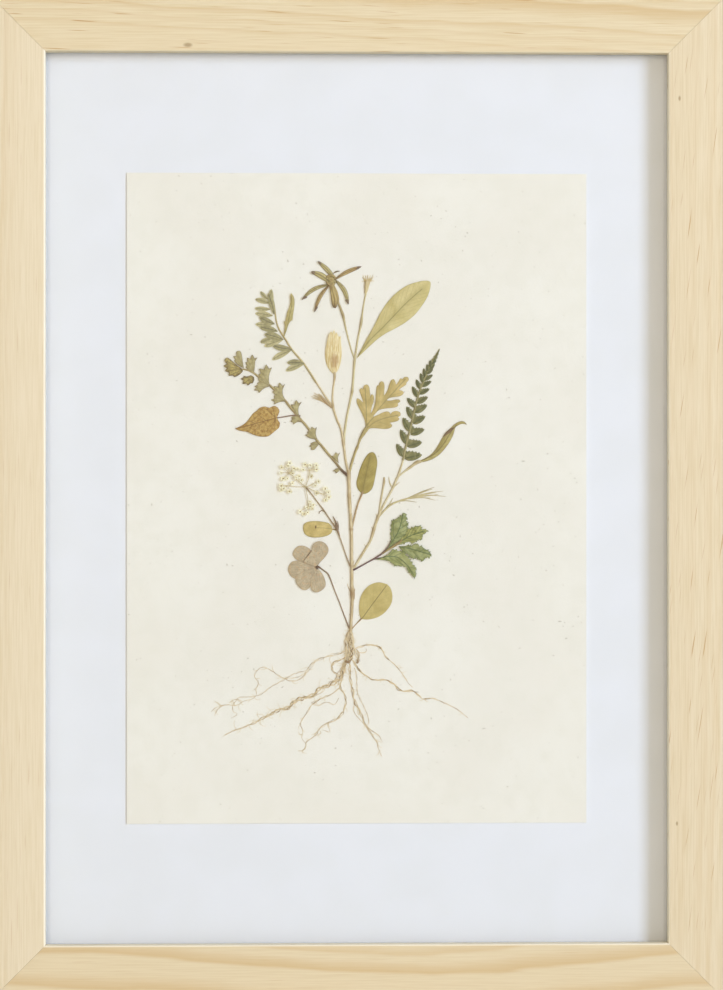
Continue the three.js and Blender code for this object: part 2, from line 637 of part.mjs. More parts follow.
// Each pressed piece, cut back from the pieces that it grows from or touches
const pressed = [
  ['stem_main', straw, mainStem(), []],
  ['stem_left_fork', straw, leftFork(), [mainStem]],
  ['stem_centre_fork', straw, centreFork(), [leftFork]],
  ['stem_star', straw, starStem(), [centreFork]],
  ['stem_right_branch', straw, rightBranch(), [mainStem]],
  ['star_seed_head', brown, starSeedHead(), []],
  ['flower_tuft', straw, flowerTuft(), [centreFork]],
  ['yellow_bud', cream, yellowBud(), [leftFork]],
  ['feathery_bract', tan, bract(), [leftFork]],
  ['vetch_leaf', olive, vetchLeaf(), [leftFork]],
  ['small_curved_leaf', olive, smallCurvedLeaf(), []],
  ['lance_leaf', tan, lanceLeaf(), [centreFork]],
  ['burnet_leaf', olive, burnetLeaf(), [mainStem, leftFork]],
  ['heart_leaf', rust, heartLeaf(), []],
  ['umbel', cream, umbel(), [mainStem]],
  ['oval_leaf', tan, ovalLeaf(), []],
  ['lilac_flower', lilac, lilacFlower(), [mainStem, crown]],
  ['round_leaf', tan, roundLeaf(), [mainStem, crown]],
  ['serrated_leaf', green, serratedLeaf(), [mainStem, rightBranch]],
  ['long_oval_leaf', olive, longOvalLeaf(), [mainStem]],
  ['lobed_leaf', tan, lobedLeaf(), [mainStem, leftFork]],
  ['fern_frond', darkGreen, fernFrond(), [rightBranch]],
  ['curled_leaf', olive, curledLeaf(), [rightBranch]],
  ['spiky_tuft', straw, spikyTuft(), [rightBranch]],
  ['root_crown', straw, crown(), []],
  ['root_left_upper', straw, rootLeftUpper(), [crown]],
  ['root_left_long', straw, rootLeftLong(), [crown]],
  ['root_left_lower', straw, rootLeftLower(), []],
  ['root_left_down', straw, rootLeftDown(), [rootLeftLong]],
  ['root_down', straw, rootDown(), [crown]],
  ['root_right_upper', straw, rootRightUpper(), [crown]],
  ['root_right_long', straw, rootRightLong(), [crown]],
];

for (const [name, material, solid, neighbours] of pressed) {
  const clear = neighbours.reduce((rest, neighbour) => rest.subtract(neighbour(gap)), solid);
  frame.add(keep(name, toGeometry(clear), material));
}

export default frame;
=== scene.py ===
"""A pressed plant collage behind glass in a mitred pine frame, dressed on its CAD frame.

The piece stands upright as it hangs on its nail: +Z up, the front looking towards -Y. Lengths are in
metres unless a name ends in _mm. Plant pieces are laid out in millimetres right of and above the
root collar, which is where the main stem meets the root crown.
"""
import math

import bpy
import numpy as np
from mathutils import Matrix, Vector, geometry, noise


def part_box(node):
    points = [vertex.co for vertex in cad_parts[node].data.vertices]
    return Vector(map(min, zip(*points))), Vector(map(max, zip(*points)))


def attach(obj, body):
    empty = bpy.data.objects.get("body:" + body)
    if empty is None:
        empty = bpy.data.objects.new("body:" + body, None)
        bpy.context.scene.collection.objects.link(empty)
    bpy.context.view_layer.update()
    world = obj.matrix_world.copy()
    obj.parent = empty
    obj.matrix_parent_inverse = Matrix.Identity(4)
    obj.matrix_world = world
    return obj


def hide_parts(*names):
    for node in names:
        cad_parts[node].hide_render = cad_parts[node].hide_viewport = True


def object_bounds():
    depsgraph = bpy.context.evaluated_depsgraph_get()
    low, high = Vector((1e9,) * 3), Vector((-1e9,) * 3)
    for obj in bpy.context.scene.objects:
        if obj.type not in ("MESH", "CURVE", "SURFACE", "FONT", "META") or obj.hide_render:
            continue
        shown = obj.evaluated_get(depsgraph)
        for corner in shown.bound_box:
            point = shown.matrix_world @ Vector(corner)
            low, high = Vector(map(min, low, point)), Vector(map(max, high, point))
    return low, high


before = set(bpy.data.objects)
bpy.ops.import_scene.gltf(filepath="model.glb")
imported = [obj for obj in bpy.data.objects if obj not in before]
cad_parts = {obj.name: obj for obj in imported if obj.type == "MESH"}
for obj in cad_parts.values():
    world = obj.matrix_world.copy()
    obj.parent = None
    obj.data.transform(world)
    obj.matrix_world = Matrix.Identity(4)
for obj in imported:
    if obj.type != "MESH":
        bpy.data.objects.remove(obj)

cad_box = [list(corner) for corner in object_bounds()]


# Camera
# It stands a little left of square-on to the glass, far enough away that the inner walls of the
# left and lower rails barely show.
MM = 0.001
sight_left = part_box("rail_left")[1][0]
sight_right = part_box("rail_right")[0][0]
sight_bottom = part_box("rail_bottom")[1][2]
sight_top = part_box("rail_top")[0][2]
front_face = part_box("rail_left")[0][1]
middle = Vector(((sight_left + sight_right) / 2, front_face, (sight_bottom + sight_top) / 2))
camera_distance = 1.4
camera_swing = math.radians(1.6)
aim = middle + Vector((1.7 * MM, 0, 1.5 * MM))


def add_object(name, data):
    """Puts an object with this data into the scene."""
    thing = bpy.data.objects.new(name, data)
    bpy.context.collection.objects.link(thing)
    return thing


stand = Vector((-math.sin(camera_swing), -math.cos(camera_swing), 0)) * camera_distance
camera_data = bpy.data.cameras.new("camera")
camera_data.sensor_fit = "VERTICAL"
camera_data.sensor_height = 24
camera_data.lens = 74.8
camera_data.clip_start = 0.05
camera = add_object("camera", camera_data)
camera.location = aim + stand
camera.rotation_euler = (-stand).to_track_quat("-Z", "Y").to_euler()
bpy.context.scene.camera = camera


# Light
# Daylight from a tall window well off to the right gives the soft cool shadow inside the right and
# upper rails. Warm pale surroundings and a big soft lamp beside the camera fill it.
def soft_lamp(name, wide, tall, energy, colour, place):
    """A rectangular lamp at a place in metres from the middle of the opening, turned to face it."""
    data = bpy.data.lights.new(name, "AREA")
    data.shape = "RECTANGLE"
    data.size = wide
    data.size_y = tall
    data.energy = energy
    data.color = colour
    lamp = add_object(name, data)
    lamp.location = middle + Vector(place)
    lamp.rotation_euler = (middle - lamp.location).to_track_quat("-Z", "Y").to_euler()
    return lamp


soft_lamp("window", 1.25, 1.6, 127, (0.63, 0.752, 1), (2.95, -3.15, 0.7))
fill_lamp = soft_lamp("fill", 1.2, 1.2, 40, (1, 0.849, 0.659), (-0.1, -2.8, 0.1))
fill_lamp.visible_camera = False
fill_lamp.visible_glossy = False
fill_lamp.visible_transmission = False
soft_lamp("back_fill", 1.5, 1.5, 22, (1, 0.96, 0.9), (-1.1, 2.4, 0.7))

room = bpy.data.worlds.new("room")
room.use_nodes = True
room_light = room.node_tree.nodes["Background"].inputs
room_light["Color"].default_value = (1, 0.952, 0.857, 1)
room_light["Strength"].default_value = 0.37
bpy.context.scene.world = room
bpy.context.scene.view_settings.view_transform = "Standard"


# Floor
# A plain pale studio floor under the lower rail, matt painted board. It isn't part of the frame.
floor_half = 3


def tone(red, green, blue):
    """A colour as it is seen, 0 to 255 a channel, as the linear colour that a shader takes."""
    def linear(channel):
        part = channel / 255
        return part / 12.92 if part <= 0.04045 else ((part + 0.055) / 1.055) ** 2.4
    return (linear(red), linear(green), linear(blue), 1.0)


def feed(tree, socket, value):
    """Links a socket to another node's output, or sets it to a plain value."""
    if isinstance(value, bpy.types.NodeSocket):
        tree.links.new(value, socket)
    else:
        socket.default_value = value


def add_node(tree, kind, inputs, settings):
    """Adds a node with its settings and what feeds its sockets, and returns its outputs."""
    node = tree.nodes.new(kind)
    for key, value in settings.items():
        setattr(node, key, value)
    for name, value in inputs.items():
        feed(tree, node.inputs[name], value)
    return node.outputs


class Finish:
    """One material's node tree. Its calls add a node and return the output that the next one reads."""

    def __init__(self, name, roughness):
        self.material = bpy.data.materials.new(name)
        self.material.use_nodes = True
        self.tree = self.material.node_tree
        self.shader = self.tree.nodes["Principled BSDF"]
        self.surface("Roughness", roughness)
        self.surface("Specular IOR Level", 0.3)

    def surface(self, name, value):
        feed(self.tree, self.shader.inputs[name], value)

    def add(self, kind, inputs={}, **settings):
        return add_node(self.tree, kind, inputs, settings)

    def scaled(self, vector, by):
        return self.add("ShaderNodeVectorMath", {0: vector, "Scale": by}, operation="SCALE")[0]

    def where_mm(self):
        """The place on the object in millimetres."""
        return self.scaled(self.add("ShaderNodeTexCoord")["Object"], 1000)

    def axes(self, vector):
        return self.add("ShaderNodeSeparateXYZ", {0: vector})

    def vector(self, x, y, z):
        return self.add("ShaderNodeCombineXYZ", {0: x, 1: y, 2: z})[0]

    def attribute(self, name, output="Fac"):
        return self.add("ShaderNodeAttribute", attribute_name=name)[output]

    def maths(self, operation, first, second=0.0, third=0.0, clamp=False):
        given = {0: first, 1: second, 2: third}
        return self.add("ShaderNodeMath", given, operation=operation, use_clamp=clamp)[0]

    def times(self, first, second):
        return self.maths("MULTIPLY", first, second)

    def distance(self, first, second):
        """How far off a place is that lies this much along one axis and this much along another."""
        squares = self.maths("ADD", self.maths("POWER", first, 2), self.maths("POWER", second, 2))
        return self.maths("SQRT", squares)

    def noise(self, where, scale, detail=2.0, distortion=0.0):
        sizes = {"Vector": where, "Scale": scale, "Detail": detail, "Distortion": distortion}
        return self.add("ShaderNodeTexNoise", sizes)["Fac"]

    def ease(self, value, low, high, bottom=0.0, top=1.0):
        """Rises smoothly from bottom to top while the value goes from low to high."""
        ends = {"Value": value, "From Min": low, "From Max": high, "To Min": bottom, "To Max": top}
        return self.add("ShaderNodeMapRange", ends, interpolation_type="SMOOTHSTEP")["Result"]

    def mix(self, amount, first, second):
        """Goes from the first to the second, each of them an output or a colour as it is seen."""
        first, second = (tone(*part) if isinstance(part, tuple) else part for part in (first, second))
        parts = {"Factor": amount, "A": first, "B": second}
        return self.add("ShaderNodeMix", parts, data_type="RGBA", clamp_factor=True)["Result"]

    def bump(self, height, depth_mm, strength=0.6):
        sizes = {"Strength": strength, "Distance": depth_mm * MM, "Height": height}
        self.surface("Normal", self.add("ShaderNodeBump", sizes)["Normal"])

    def colour(self, shade):
        self.surface("Base Color", shade)
        return self.material


def painted_floor():
    paint = Finish("pale_floor_paint", 0.7)
    cloud = paint.noise(paint.where_mm(), 0.01, 3)
    return paint.colour(paint.mix(paint.ease(cloud, 0.3, 0.7), (232, 231, 228), (238, 237, 234)))


def new_mesh(name, verts, edges, faces):
    mesh = bpy.data.meshes.new(name)
    mesh.from_pydata(verts, edges, faces)
    return mesh


floor_corners = [
    (x * floor_half, y * floor_half, cad_box[0][2]) for x, y in ((-1, -1), (1, -1), (1, 1), (-1, 1))
]
floor = add_object("floor", new_mesh("floor", floor_corners, [], [(0, 1, 2, 3)]))
floor.data.materials.append(painted_floor())
floor.visible_glossy = False
floor.visible_transmission = False


# Rails
# Four lengths of bare pine moulding with a rebate behind the lip, sanded, slightly rounded on every
# edge, and glued at 45 degree mitres. The grain runs along each rail and each has its own figure.
rail_face_mm = 25
rail_depth_mm = 20
lip_mm = 6
rebate_mm = 8
edge_round_mm = 1.1
mitre_line_mm = 0.045
rail_stations = 61
grain_length_mm = 480
grain_drift_mm = 40
figure_width_mm = 60
figure_start = 0.3
plain_wood = 0.2


def rail_section():
    """The L-shaped section as inward and forward millimetres, from the outer back edge round."""
    lip_back = rail_depth_mm - lip_mm
    rebate_edge = rail_face_mm - rebate_mm
    corners = [
        (0, 0, 0.5), (0, rail_depth_mm, edge_round_mm), (rail_face_mm, rail_depth_mm, edge_round_mm),
        (rail_face_mm, lip_back, 0.3), (rebate_edge, lip_back, 0.2), (rebate_edge, 0, 0.5),
    ]
    section = []
    for index, (inward, forward, radius) in enumerate(corners):
        corner = Vector((inward, forward))
        before = Vector(corners[index - 1][:2])
        after = Vector(corners[(index + 1) % len(corners)][:2])
        start = corner + (before - corner).normalized() * radius
        end = corner + (after - corner).normalized() * radius
        for step in range(5):
            along = step / 4
            section.append((1 - along) ** 2 * start + 2 * along * (1 - along) * corner + along ** 2 * end)
    return section


def rail_mesh(name, turn, out_mm, long_mm):
    """A rail whose outer edge stands out from the middle, turned about Y from the top rail's place."""
    section = rail_section()
    count = len(section)
    verts = []
    for station in range(rail_stations):
        share = station / (rail_stations - 1) * 2 - 1
        for inward, forward in section:
            half = long_mm / 2 - inward - mitre_line_mm
            worn = noise.noise(Vector((share * half * 0.05, turn * 7, forward * 0.2))) * 0.05
            inward_worn = min(rail_face_mm, max(0.0, inward + worn))
            verts.append(Vector((share * half, -forward, out_mm - inward_worn)) * MM)
    last = count * (rail_stations - 1)
    faces = [list(range(count))[::-1], [last + index for index in range(count)]]
    for start in range(0, last, count):
        for index in range(count):
            first = start + index
            second = start + (index + 1) % count
            faces.append([first, second, second + count, first + count])
    spin = Vector((math.sin(turn), 0, math.cos(turn)))
    along = Vector((math.cos(turn), 0, -math.sin(turn)))
    back = Vector((middle.x, 0, middle.z))
    turned = [back + along * vert.x + spin * vert.z + Vector((0, vert.y, 0)) for vert in verts]
    return new_mesh(name, turned, [], faces)


def rail_piece(side, mesh, material):
    mesh.materials.append(material)
    mesh.shade_smooth()
    mesh.set_sharp_from_angle(angle=math.radians(40))
    piece = add_object(mesh.name, mesh)
    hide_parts(f"rail_{side}")
    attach(piece, "root")


def grain_drift(wood, along, drift):
    """How far across the rail the figure has moved, at places evenly spaced along it."""
    place = wood.maths("MULTIPLY_ADD", along, 1 / grain_length_mm, 0.5)
    height = wood.add("ShaderNodeFloatCurve", {"Value": place})["Value"]
    curve = height.node.mapping
    points = curve.curves[0].points
    points[0].location = (0, drift[0] / grain_drift_mm + 0.5)
    points[1].location = (1, drift[-1] / grain_drift_mm + 0.5)
    for index, shift in enumerate(drift[1:-1], start=1):
        points.new(index / (len(drift) - 1), shift / grain_drift_mm + 0.5)
    curve.update()
    return wood.maths("MULTIPLY_ADD", height, grain_drift_mm, -grain_drift_mm / 2)


def latewood(wood, ring, rings):
    """The darker wood of each ring, which comes on slowly and ends sharply."""
    place = wood.maths("MULTIPLY_ADD", ring, 1 / figure_width_mm, figure_start)
    dark_wood = wood.add("ShaderNodeValToRGB", {"Fac": place})["Color"]
    stops = dark_wood.node.color_ramp.elements
    for stop in stops:
        stop.color = (plain_wood, plain_wood, plain_wood, 1)
    for across, dark, soft in rings:
        centre = across / figure_width_mm + figure_start
        for offset, level in ((-soft, 0.1), (-0.4 * soft, dark * 0.7), (0, dark), (0.3 * soft, 0.1)):
            stop = stops.new(min(1, max(0, centre + offset / figure_width_mm)))
            stop.color = (level, level, level, 1)
    return dark_wood


def pine(side, upright, outer_mm, pale, deep, rings, drift, lean=0.0, dashes=0.0, pins=(), painted_edge_light=0.8):
    """Pine seen along one rail. rings are places across the figure, from the sight edge outwards, and how
    dark each is; drift moves the figure across the rail along its length; lean slants the resin dashes;
    pins are small dark knots as places along and across, and their size; the last argument is how strongly
    a painted highlight makes the sight edge paler than the face, standing in for the light that its rounded
    edge and inner wall catch."""
    wood = Finish(f"pine_{side}", 0.55)
    x, y, z = wood.axes(wood.where_mm())
    from_middle = wood.maths("SUBTRACT", z, middle.z / MM)
    along, level = (from_middle, x) if upright else (x, from_middle)
    from_edge = wood.maths("SUBTRACT", outer_mm, wood.maths("ABSOLUTE", level))
    across = wood.maths("SUBTRACT", rail_face_mm, from_edge)
    depth = wood.maths("ADD", y, rail_depth_mm)

    ripple = wood.noise(wood.vector(wood.times(along, 0.022), wood.times(across, 0.05), 0.3), 1, 2)
    ring = wood.maths("SUBTRACT", across, grain_drift(wood, along, drift))
    ring = wood.maths("ADD", ring, wood.maths("MULTIPLY_ADD", ripple, 5, -2.5))
    ring = wood.maths("MULTIPLY_ADD", depth, 0.45, ring)
    fibre_place = wood.vector(wood.times(along, 0.035), wood.times(across, 1.5), wood.times(depth, 1.5))
    fibre = wood.noise(fibre_place, 1, 4)
    fine = wood.noise(fibre_place, 3.4, 3)
    early = wood.mix(wood.ease(fibre, 0.35, 0.7), pale, deep)
    shade = wood.mix(latewood(wood, ring, rings), early, (204, 176, 126))
    shade = wood.mix(wood.ease(fine, 0.35, 0.75, 0, 0.1), shade, (198, 172, 130))
    # Painted highlight: the sight edge and the inner wall behind it are made paler, standing in for light
    # that the rounded edge catches.
    shade = wood.mix(wood.ease(across, 0.35, 0.9, painted_edge_light, 0), shade, (252, 244, 220))

    slanted = wood.maths("MULTIPLY_ADD", along, -lean, across)
    dash_place = wood.vector(wood.times(along, 0.034), wood.times(slanted, 1.15), depth)
    dash = wood.ease(wood.noise(dash_place, 1, 1), 0.67, 0.76, 0, dashes)
    shade = wood.mix(dash, shade, (186, 146, 94))
    for pin_along, pin_across, size in pins:
        gap_along = wood.times(wood.maths("SUBTRACT", along, pin_along), 0.5)
        reach = wood.distance(gap_along, wood.maths("SUBTRACT", across, pin_across))
        shade = wood.mix(wood.ease(reach, size * 0.3, size, 0.75, 0), shade, (160, 136, 98))
    wood.bump(fibre, 0.08, 0.5)
    return wood.colour(shade)


outer_wide_mm = (sight_right - sight_left) / MM + 2 * rail_face_mm
outer_tall_mm = (sight_top - sight_bottom) / MM + 2 * rail_face_mm
figures = {
    "top": dict(
        pale=(226, 213, 180), deep=(218, 202, 164),
        rings=[(7, 0.4, 2), (11.5, 0.35, 2), (16, 0.5, 2.5), (27, 0.75, 6.5), (31.5, 0.4, 3), (36, 0.5, 3)],
        drift=[12, 8.5, 5.5, 2, -1.5, -5, -9, -13], lean=-0.05, dashes=0.85, pins=[(-77, 2.9, 1.4)],
        painted_edge_light=0.2,
    ),
    "right": dict(
        pale=(227, 214, 184), deep=(218, 203, 168),
        rings=[(11, 0.22, 5), (19, 0.3, 4), (24, 0.32, 4), (30, 0.3, 4)],
        drift=[-6, -4, -1, 1, 0, 1.5, 2], lean=0.15, dashes=0.75, pins=[(-148, 3.8, 0.7), (182, 5, 0.8)],
    ),
    "bottom": dict(
        pale=(224, 210, 176), deep=(218, 202, 166),
        rings=[(-6, 0.5, 4), (3, 0.75, 5.6), (18, 0.7, 6), (25, 0.5, 4), (31, 0.5, 4)],
        drift=[-2, -1.4, 1.4, 6.8, 10, 5, -0.6, -3], dashes=0.2,
    ),
    "left": dict(
        pale=(230, 218, 190), deep=(223, 210, 178),
        rings=[(9, 0.12, 3), (14, 0.2, 2.5), (18, 0.3, 3), (24, 0.35, 3), (29, 0.35, 3)],
        drift=[4, 4, 4, 3.5, 3, 1, -2], dashes=0.3,
    ),
}
places = {
    "top": (0, outer_tall_mm, outer_wide_mm), "right": (math.pi / 2, outer_wide_mm, outer_tall_mm),
    "bottom": (math.pi, outer_tall_mm, outer_wide_mm), "left": (-math.pi / 2, outer_wide_mm, outer_tall_mm),
}
for side, (turn, across_mm, long_mm) in places.items():
    wood = pine(side, side in ("left", "right"), across_mm / 2, **figures[side])
    rail_piece(side, rail_mesh(f"pine_rail_{side}", turn, across_mm / 2, long_mm), wood)


# Glass
# One pane of plain 2 mm float glass, polished on both sides, loose in the rebate. Lamps shine
# straight through it, as they do through a real pane.
def float_glass():
    pane = Finish("float_glass", 0)
    pane.surface("Base Color", (0.985, 0.995, 0.99, 1))
    pane.surface("Transmission Weight", 1)
    pane.surface("IOR", 1.5)
    pane.surface("Specular IOR Level", 0.5)
    open_way = pane.add("ShaderNodeBsdfTransparent", {"Color": (0.93, 0.935, 0.93, 1)})["BSDF"]
    ray = pane.add("ShaderNodeLightPath")
    lit = pane.maths("MAXIMUM", ray["Is Shadow Ray"], ray["Is Diffuse Ray"])
    both = pane.add("ShaderNodeMixShader", {0: lit, 1: pane.shader.outputs["BSDF"], 2: open_way})["Shader"]
    pane.tree.links.new(both, pane.tree.nodes["Material Output"].inputs["Surface"])
    return pane.material


def dress(node, material):
    """Gives a CAD node whose shape is already right its finish."""
    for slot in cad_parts[node].material_slots:
        slot.material = material


dress("glass_pane", float_glass())


# Mount board
# A white cotton-faced board fills the frame behind the glass. The card floats in front of it.
def cotton_board():
    board = Finish("white_mount_board", 0.9)
    where = board.where_mm()
    cloud = board.noise(where, 0.05, 2)
    board.bump(board.noise(where, 3, 3), 0.03, 0.4)
    return board.colour(board.mix(board.ease(cloud, 0.35, 0.65), (240, 242, 246), (242, 244, 249)))


dress("white_mount_board", cotton_board())


# Card
# A4 cream card, half a millimetre thick, glued to the mount board. It is unevenly toned, with a few
# specks in the pulp.
def cream_paper():
    card = Finish("cream_card", 0.92)
    where = card.where_mm()
    broad = card.noise(where, 0.018, 2)
    blotch = card.noise(where, 0.16, 3)
    pulp = card.noise(where, 1.9, 4)
    speck = card.ease(card.noise(where, 0.9, 0), 0.845, 0.855, 0, 0.5)
    shade = card.mix(card.ease(broad, 0.35, 0.65), (247, 243, 231), (250, 247, 236))
    shade = card.mix(card.ease(blotch, 0.4, 0.7, 0, 0.35), shade, (241, 238, 224))
    shade = card.mix(card.ease(pulp, 0.45, 0.75, 0, 0.35), shade, (236, 231, 214))
    card.bump(pulp, 0.05, 0.5)
    return card.colour(card.mix(speck, shade, (170, 160, 135)))


dress("cream_card", cream_paper())


# Back board
# Thin brown fibreboard closes the back. Steel tabs hold it in.
def pressed_fibre():
    fibre = Finish("fibreboard", 0.8)
    where = fibre.where_mm()
    fleck = fibre.noise(where, 1.1, 5)
    cloud = fibre.noise(where, 0.03, 2)
    shade = fibre.mix(fibre.ease(fleck, 0.3, 0.7), (150, 116, 80), (178, 143, 102))
    fibre.bump(fleck, 0.06, 0.5)
    return fibre.colour(fibre.mix(fibre.ease(cloud, 0.4, 0.7, 0, 0.22), shade, (140, 108, 74)))


dress("back_board", pressed_fibre())


# Tabs and hanger
# Sprung steel tabs driven into the rails hold the back board in. The sawtooth hanger is stamped from
# thin plated steel and riveted to the board below the top rail.
def plated_steel(name, light, dark, streak):
    steel = Finish(name, 0.34)
    steel.surface("Metallic", 1)
    where = steel.where_mm()
    x, y, z = steel.axes(where)
    brushed = steel.noise(steel.vector(steel.times(x, streak), y, steel.times(z, 1 / streak)), 2.2, 4)
    cloud = steel.noise(where, 0.35, 2)
    shade = steel.mix(steel.ease(brushed, 0.3, 0.7), light, dark)
    steel.bump(brushed, 0.02, 0.4)
    return steel.colour(steel.mix(steel.ease(cloud, 0.5, 0.75, 0, 0.4), shade, (150, 142, 128)))


tab_steel = plated_steel("tab_steel", (206, 205, 200), (168, 166, 160), 1.6)
hanger_steel = plated_steel("hanger_steel", (214, 210, 196), (184, 178, 160), 0.5)
rivet_steel = plated_steel("rivet_steel", (196, 194, 188), (158, 155, 148), 1)
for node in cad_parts:
    if node.startswith("tab_"):
        dress(node, tab_steel)
    elif node.startswith("hanger_rivet"):
        dress(node, rivet_steel)
dress("sawtooth_hanger", hanger_steel)


# Stems
# Real dried stalks pressed nearly flat and glued down along their backs. The main stem runs up from
# the root crown to a fork, and five finer stems leave it. Nodes are swollen and browned.
card_face_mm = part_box("cream_card")[0][1] / MM
collar_right_mm = -3
collar_up_mm = -247.5
knob_scale = 1400
fibre_scale = 3.2


def laid(right, up, lift):
    """A place given in millimetres right of and above the root collar and in front of the card."""
    return Vector((collar_right_mm + right, card_face_mm - lift, collar_up_mm + up)) * MM


def new_tree(name, sockets, result):
    """A geometry tree with these named inputs, and the outputs that give their values."""
    tree = bpy.data.node_groups.new(name, "GeometryNodeTree")
    for socket, kind in sockets.items():
        tree.interface.new_socket(socket, in_out="INPUT", socket_type=f"NodeSocket{kind}")
    tree.interface.new_socket(result, in_out="OUTPUT", socket_type="NodeSocketGeometry")
    return tree, tree.nodes.new("NodeGroupInput").outputs


def end_tree(tree, made, material):
    """Makes what was grown real, gives it its material and hands it out."""
    made = add_node(tree, "GeometryNodeRealizeInstances", {"Geometry": made}, {})[0]
    made = add_node(tree, "GeometryNodeSetMaterial", {"Geometry": made, "Material": material}, {})[0]
    tree.links.new(made, tree.nodes.new("NodeGroupOutput").inputs[0])
    return tree


def stalk_tree():
    """Turns chains of points into round stalks, wanders them a little and presses them flat."""
    tree, given = new_tree("pressed_stalk", {
        "Chains": "Geometry", "Step": "Float", "Wander": "Float", "Wander Length": "Float",
        "Flatness": "Float",
        "Card Face": "Float", "Sides": "Int", "Bumps": "Float", "Finish": "Material",
    }, "Stalks")

    def add(kind, inputs={}, **settings):
        return add_node(tree, kind, inputs, settings)[0]

    def maths(operation, first, second):
        return add("ShaderNodeMath", {0: first, 1: second}, operation=operation)

    def vector(operation, first, **second):
        return add("ShaderNodeVectorMath", {0: first, **second}, operation=operation)

    chains = add("GeometryNodeMeshToCurve", {"Mesh": given["Chains"]})
    chains = add("GeometryNodeCurveSplineType", {"Curve": chains}, spline_type="CATMULL_ROM")
    chains = add("GeometryNodeResampleCurve", {"Curve": chains, "Length": given["Step"]}, mode="LENGTH")
    place = add("GeometryNodeInputPosition")
    stretched = vector("SCALE", place, Scale=maths("DIVIDE", 1, given["Wander Length"]))
    cloud = {"Vector": stretched, "Scale": 1, "Detail": 2}
    cloud = add_node(tree, "ShaderNodeTexNoise", cloud, {})["Color"]
    sideways = add("ShaderNodeVectorMath", {0: cloud, 1: (0.5, 0.5, 0.5)}, operation="SUBTRACT")
    sideways = add("ShaderNodeVectorMath", {0: sideways, 1: (1, 0.25, 1)}, operation="MULTIPLY")
    shift = vector("SCALE", sideways, Scale=given["Wander"])
    chains = add("GeometryNodeSetPosition", {"Geometry": chains, "Offset": shift})
    length = add_node(tree, "GeometryNodeSplineParameter", {}, {})["Length"]
    chains = {"Geometry": chains, "Name": "along", "Value": length}
    chains = add("GeometryNodeStoreNamedAttribute", chains, data_type="FLOAT", domain="POINT")
    knobs = add("ShaderNodeTexNoise", {"Vector": place, "Scale": knob_scale, "Detail": 1})
    knobs = maths("MULTIPLY", maths("SUBTRACT", knobs, 0.5), given["Bumps"])
    wide = add("GeometryNodeInputNamedAttribute", {"Name": "wide"}, data_type="FLOAT")
    wide = maths("MULTIPLY", wide, maths("ADD", knobs, 1))
    ring = add("GeometryNodeCurvePrimitiveCircle", {"Resolution": given["Sides"], "Radius": 0.5})
    ring = {"Geometry": ring, "Name": "skin", "Value": place}
    ring = add("GeometryNodeStoreNamedAttribute", ring, data_type="FLOAT_VECTOR", domain="POINT")
    made = {"Curve": chains, "Profile Curve": ring, "Scale": wide, "Fill Caps": True}
    made = add("GeometryNodeCurveToMesh", made)
    x, y, z = add_node(tree, "ShaderNodeSeparateXYZ", {0: place}, {})
    depth = maths("MULTIPLY", maths("SUBTRACT", y, given["Card Face"]), given["Flatness"])
    pressed = add("ShaderNodeCombineXYZ", {0: x, 1: maths("ADD", given["Card Face"], depth), 2: z})
    made = add("GeometryNodeSetPosition", {"Geometry": made, "Position": pressed})
    return end_tree(tree, made, given["Finish"])


def settle(name, seed_mesh, tree, inputs):
    """Runs a geometry tree on a mesh once and keeps the result as a plain mesh."""
    seed = add_object(name, seed_mesh)
    growth = seed.modifiers.new("growth", "NODES")
    growth.node_group = tree
    for socket in tree.interface.items_tree:
        if socket.item_type == "SOCKET" and socket.in_out == "INPUT" and socket.name in inputs:
            growth[socket.identifier] = inputs[socket.name]
    graph = bpy.context.evaluated_depsgraph_get()
    grown = bpy.data.meshes.new_from_object(
        seed.evaluated_get(graph), preserve_all_data_layers=True, depsgraph=graph,
    )
    seed.modifiers.clear()
    seed.data = grown
    grown.shade_smooth()
    grown.set_sharp_from_angle(angle=math.radians(60))
    return seed


def mark(mesh, name, values):
    """Keeps a number for every point of a mesh, for its finish or its geometry tree to read."""
    mesh.attributes.new(name, "FLOAT", "POINT").data.foreach_set("value", values)


stalk_nodes = stalk_tree()


def stalks(
    name, runs, material, flat=0.6, wander=0.15, wander_length=4, step=0.5, sides=10, rest=0.0, bumps=0.15,
):
    """Stalks through runs of (right, up, width, darkness) points; rest is the gap under them."""
    verts, edges, widths, darks = [], [], [], []
    for run in runs:
        for index, (right, up, wide, *dark) in enumerate(run):
            lift = rest + wide * flat / 2
            verts.append(laid(right, up, lift / flat))
            widths.append(wide * MM)
            darks.append(dark[0] if dark else 0.0)
            if index:
                edges.append((len(verts) - 2, len(verts) - 1))
    mesh = new_mesh(name, verts, edges, [])
    mark(mesh, "wide", widths)
    mark(mesh, "dark", darks)
    return settle(name, mesh, stalk_nodes, {
        "Step": step * MM, "Wander": wander * MM, "Wander Length": wander_length * MM, "Flatness": flat,
        "Card Face": card_face_mm * MM, "Sides": sides, "Bumps": bumps, "Finish": material,
    })


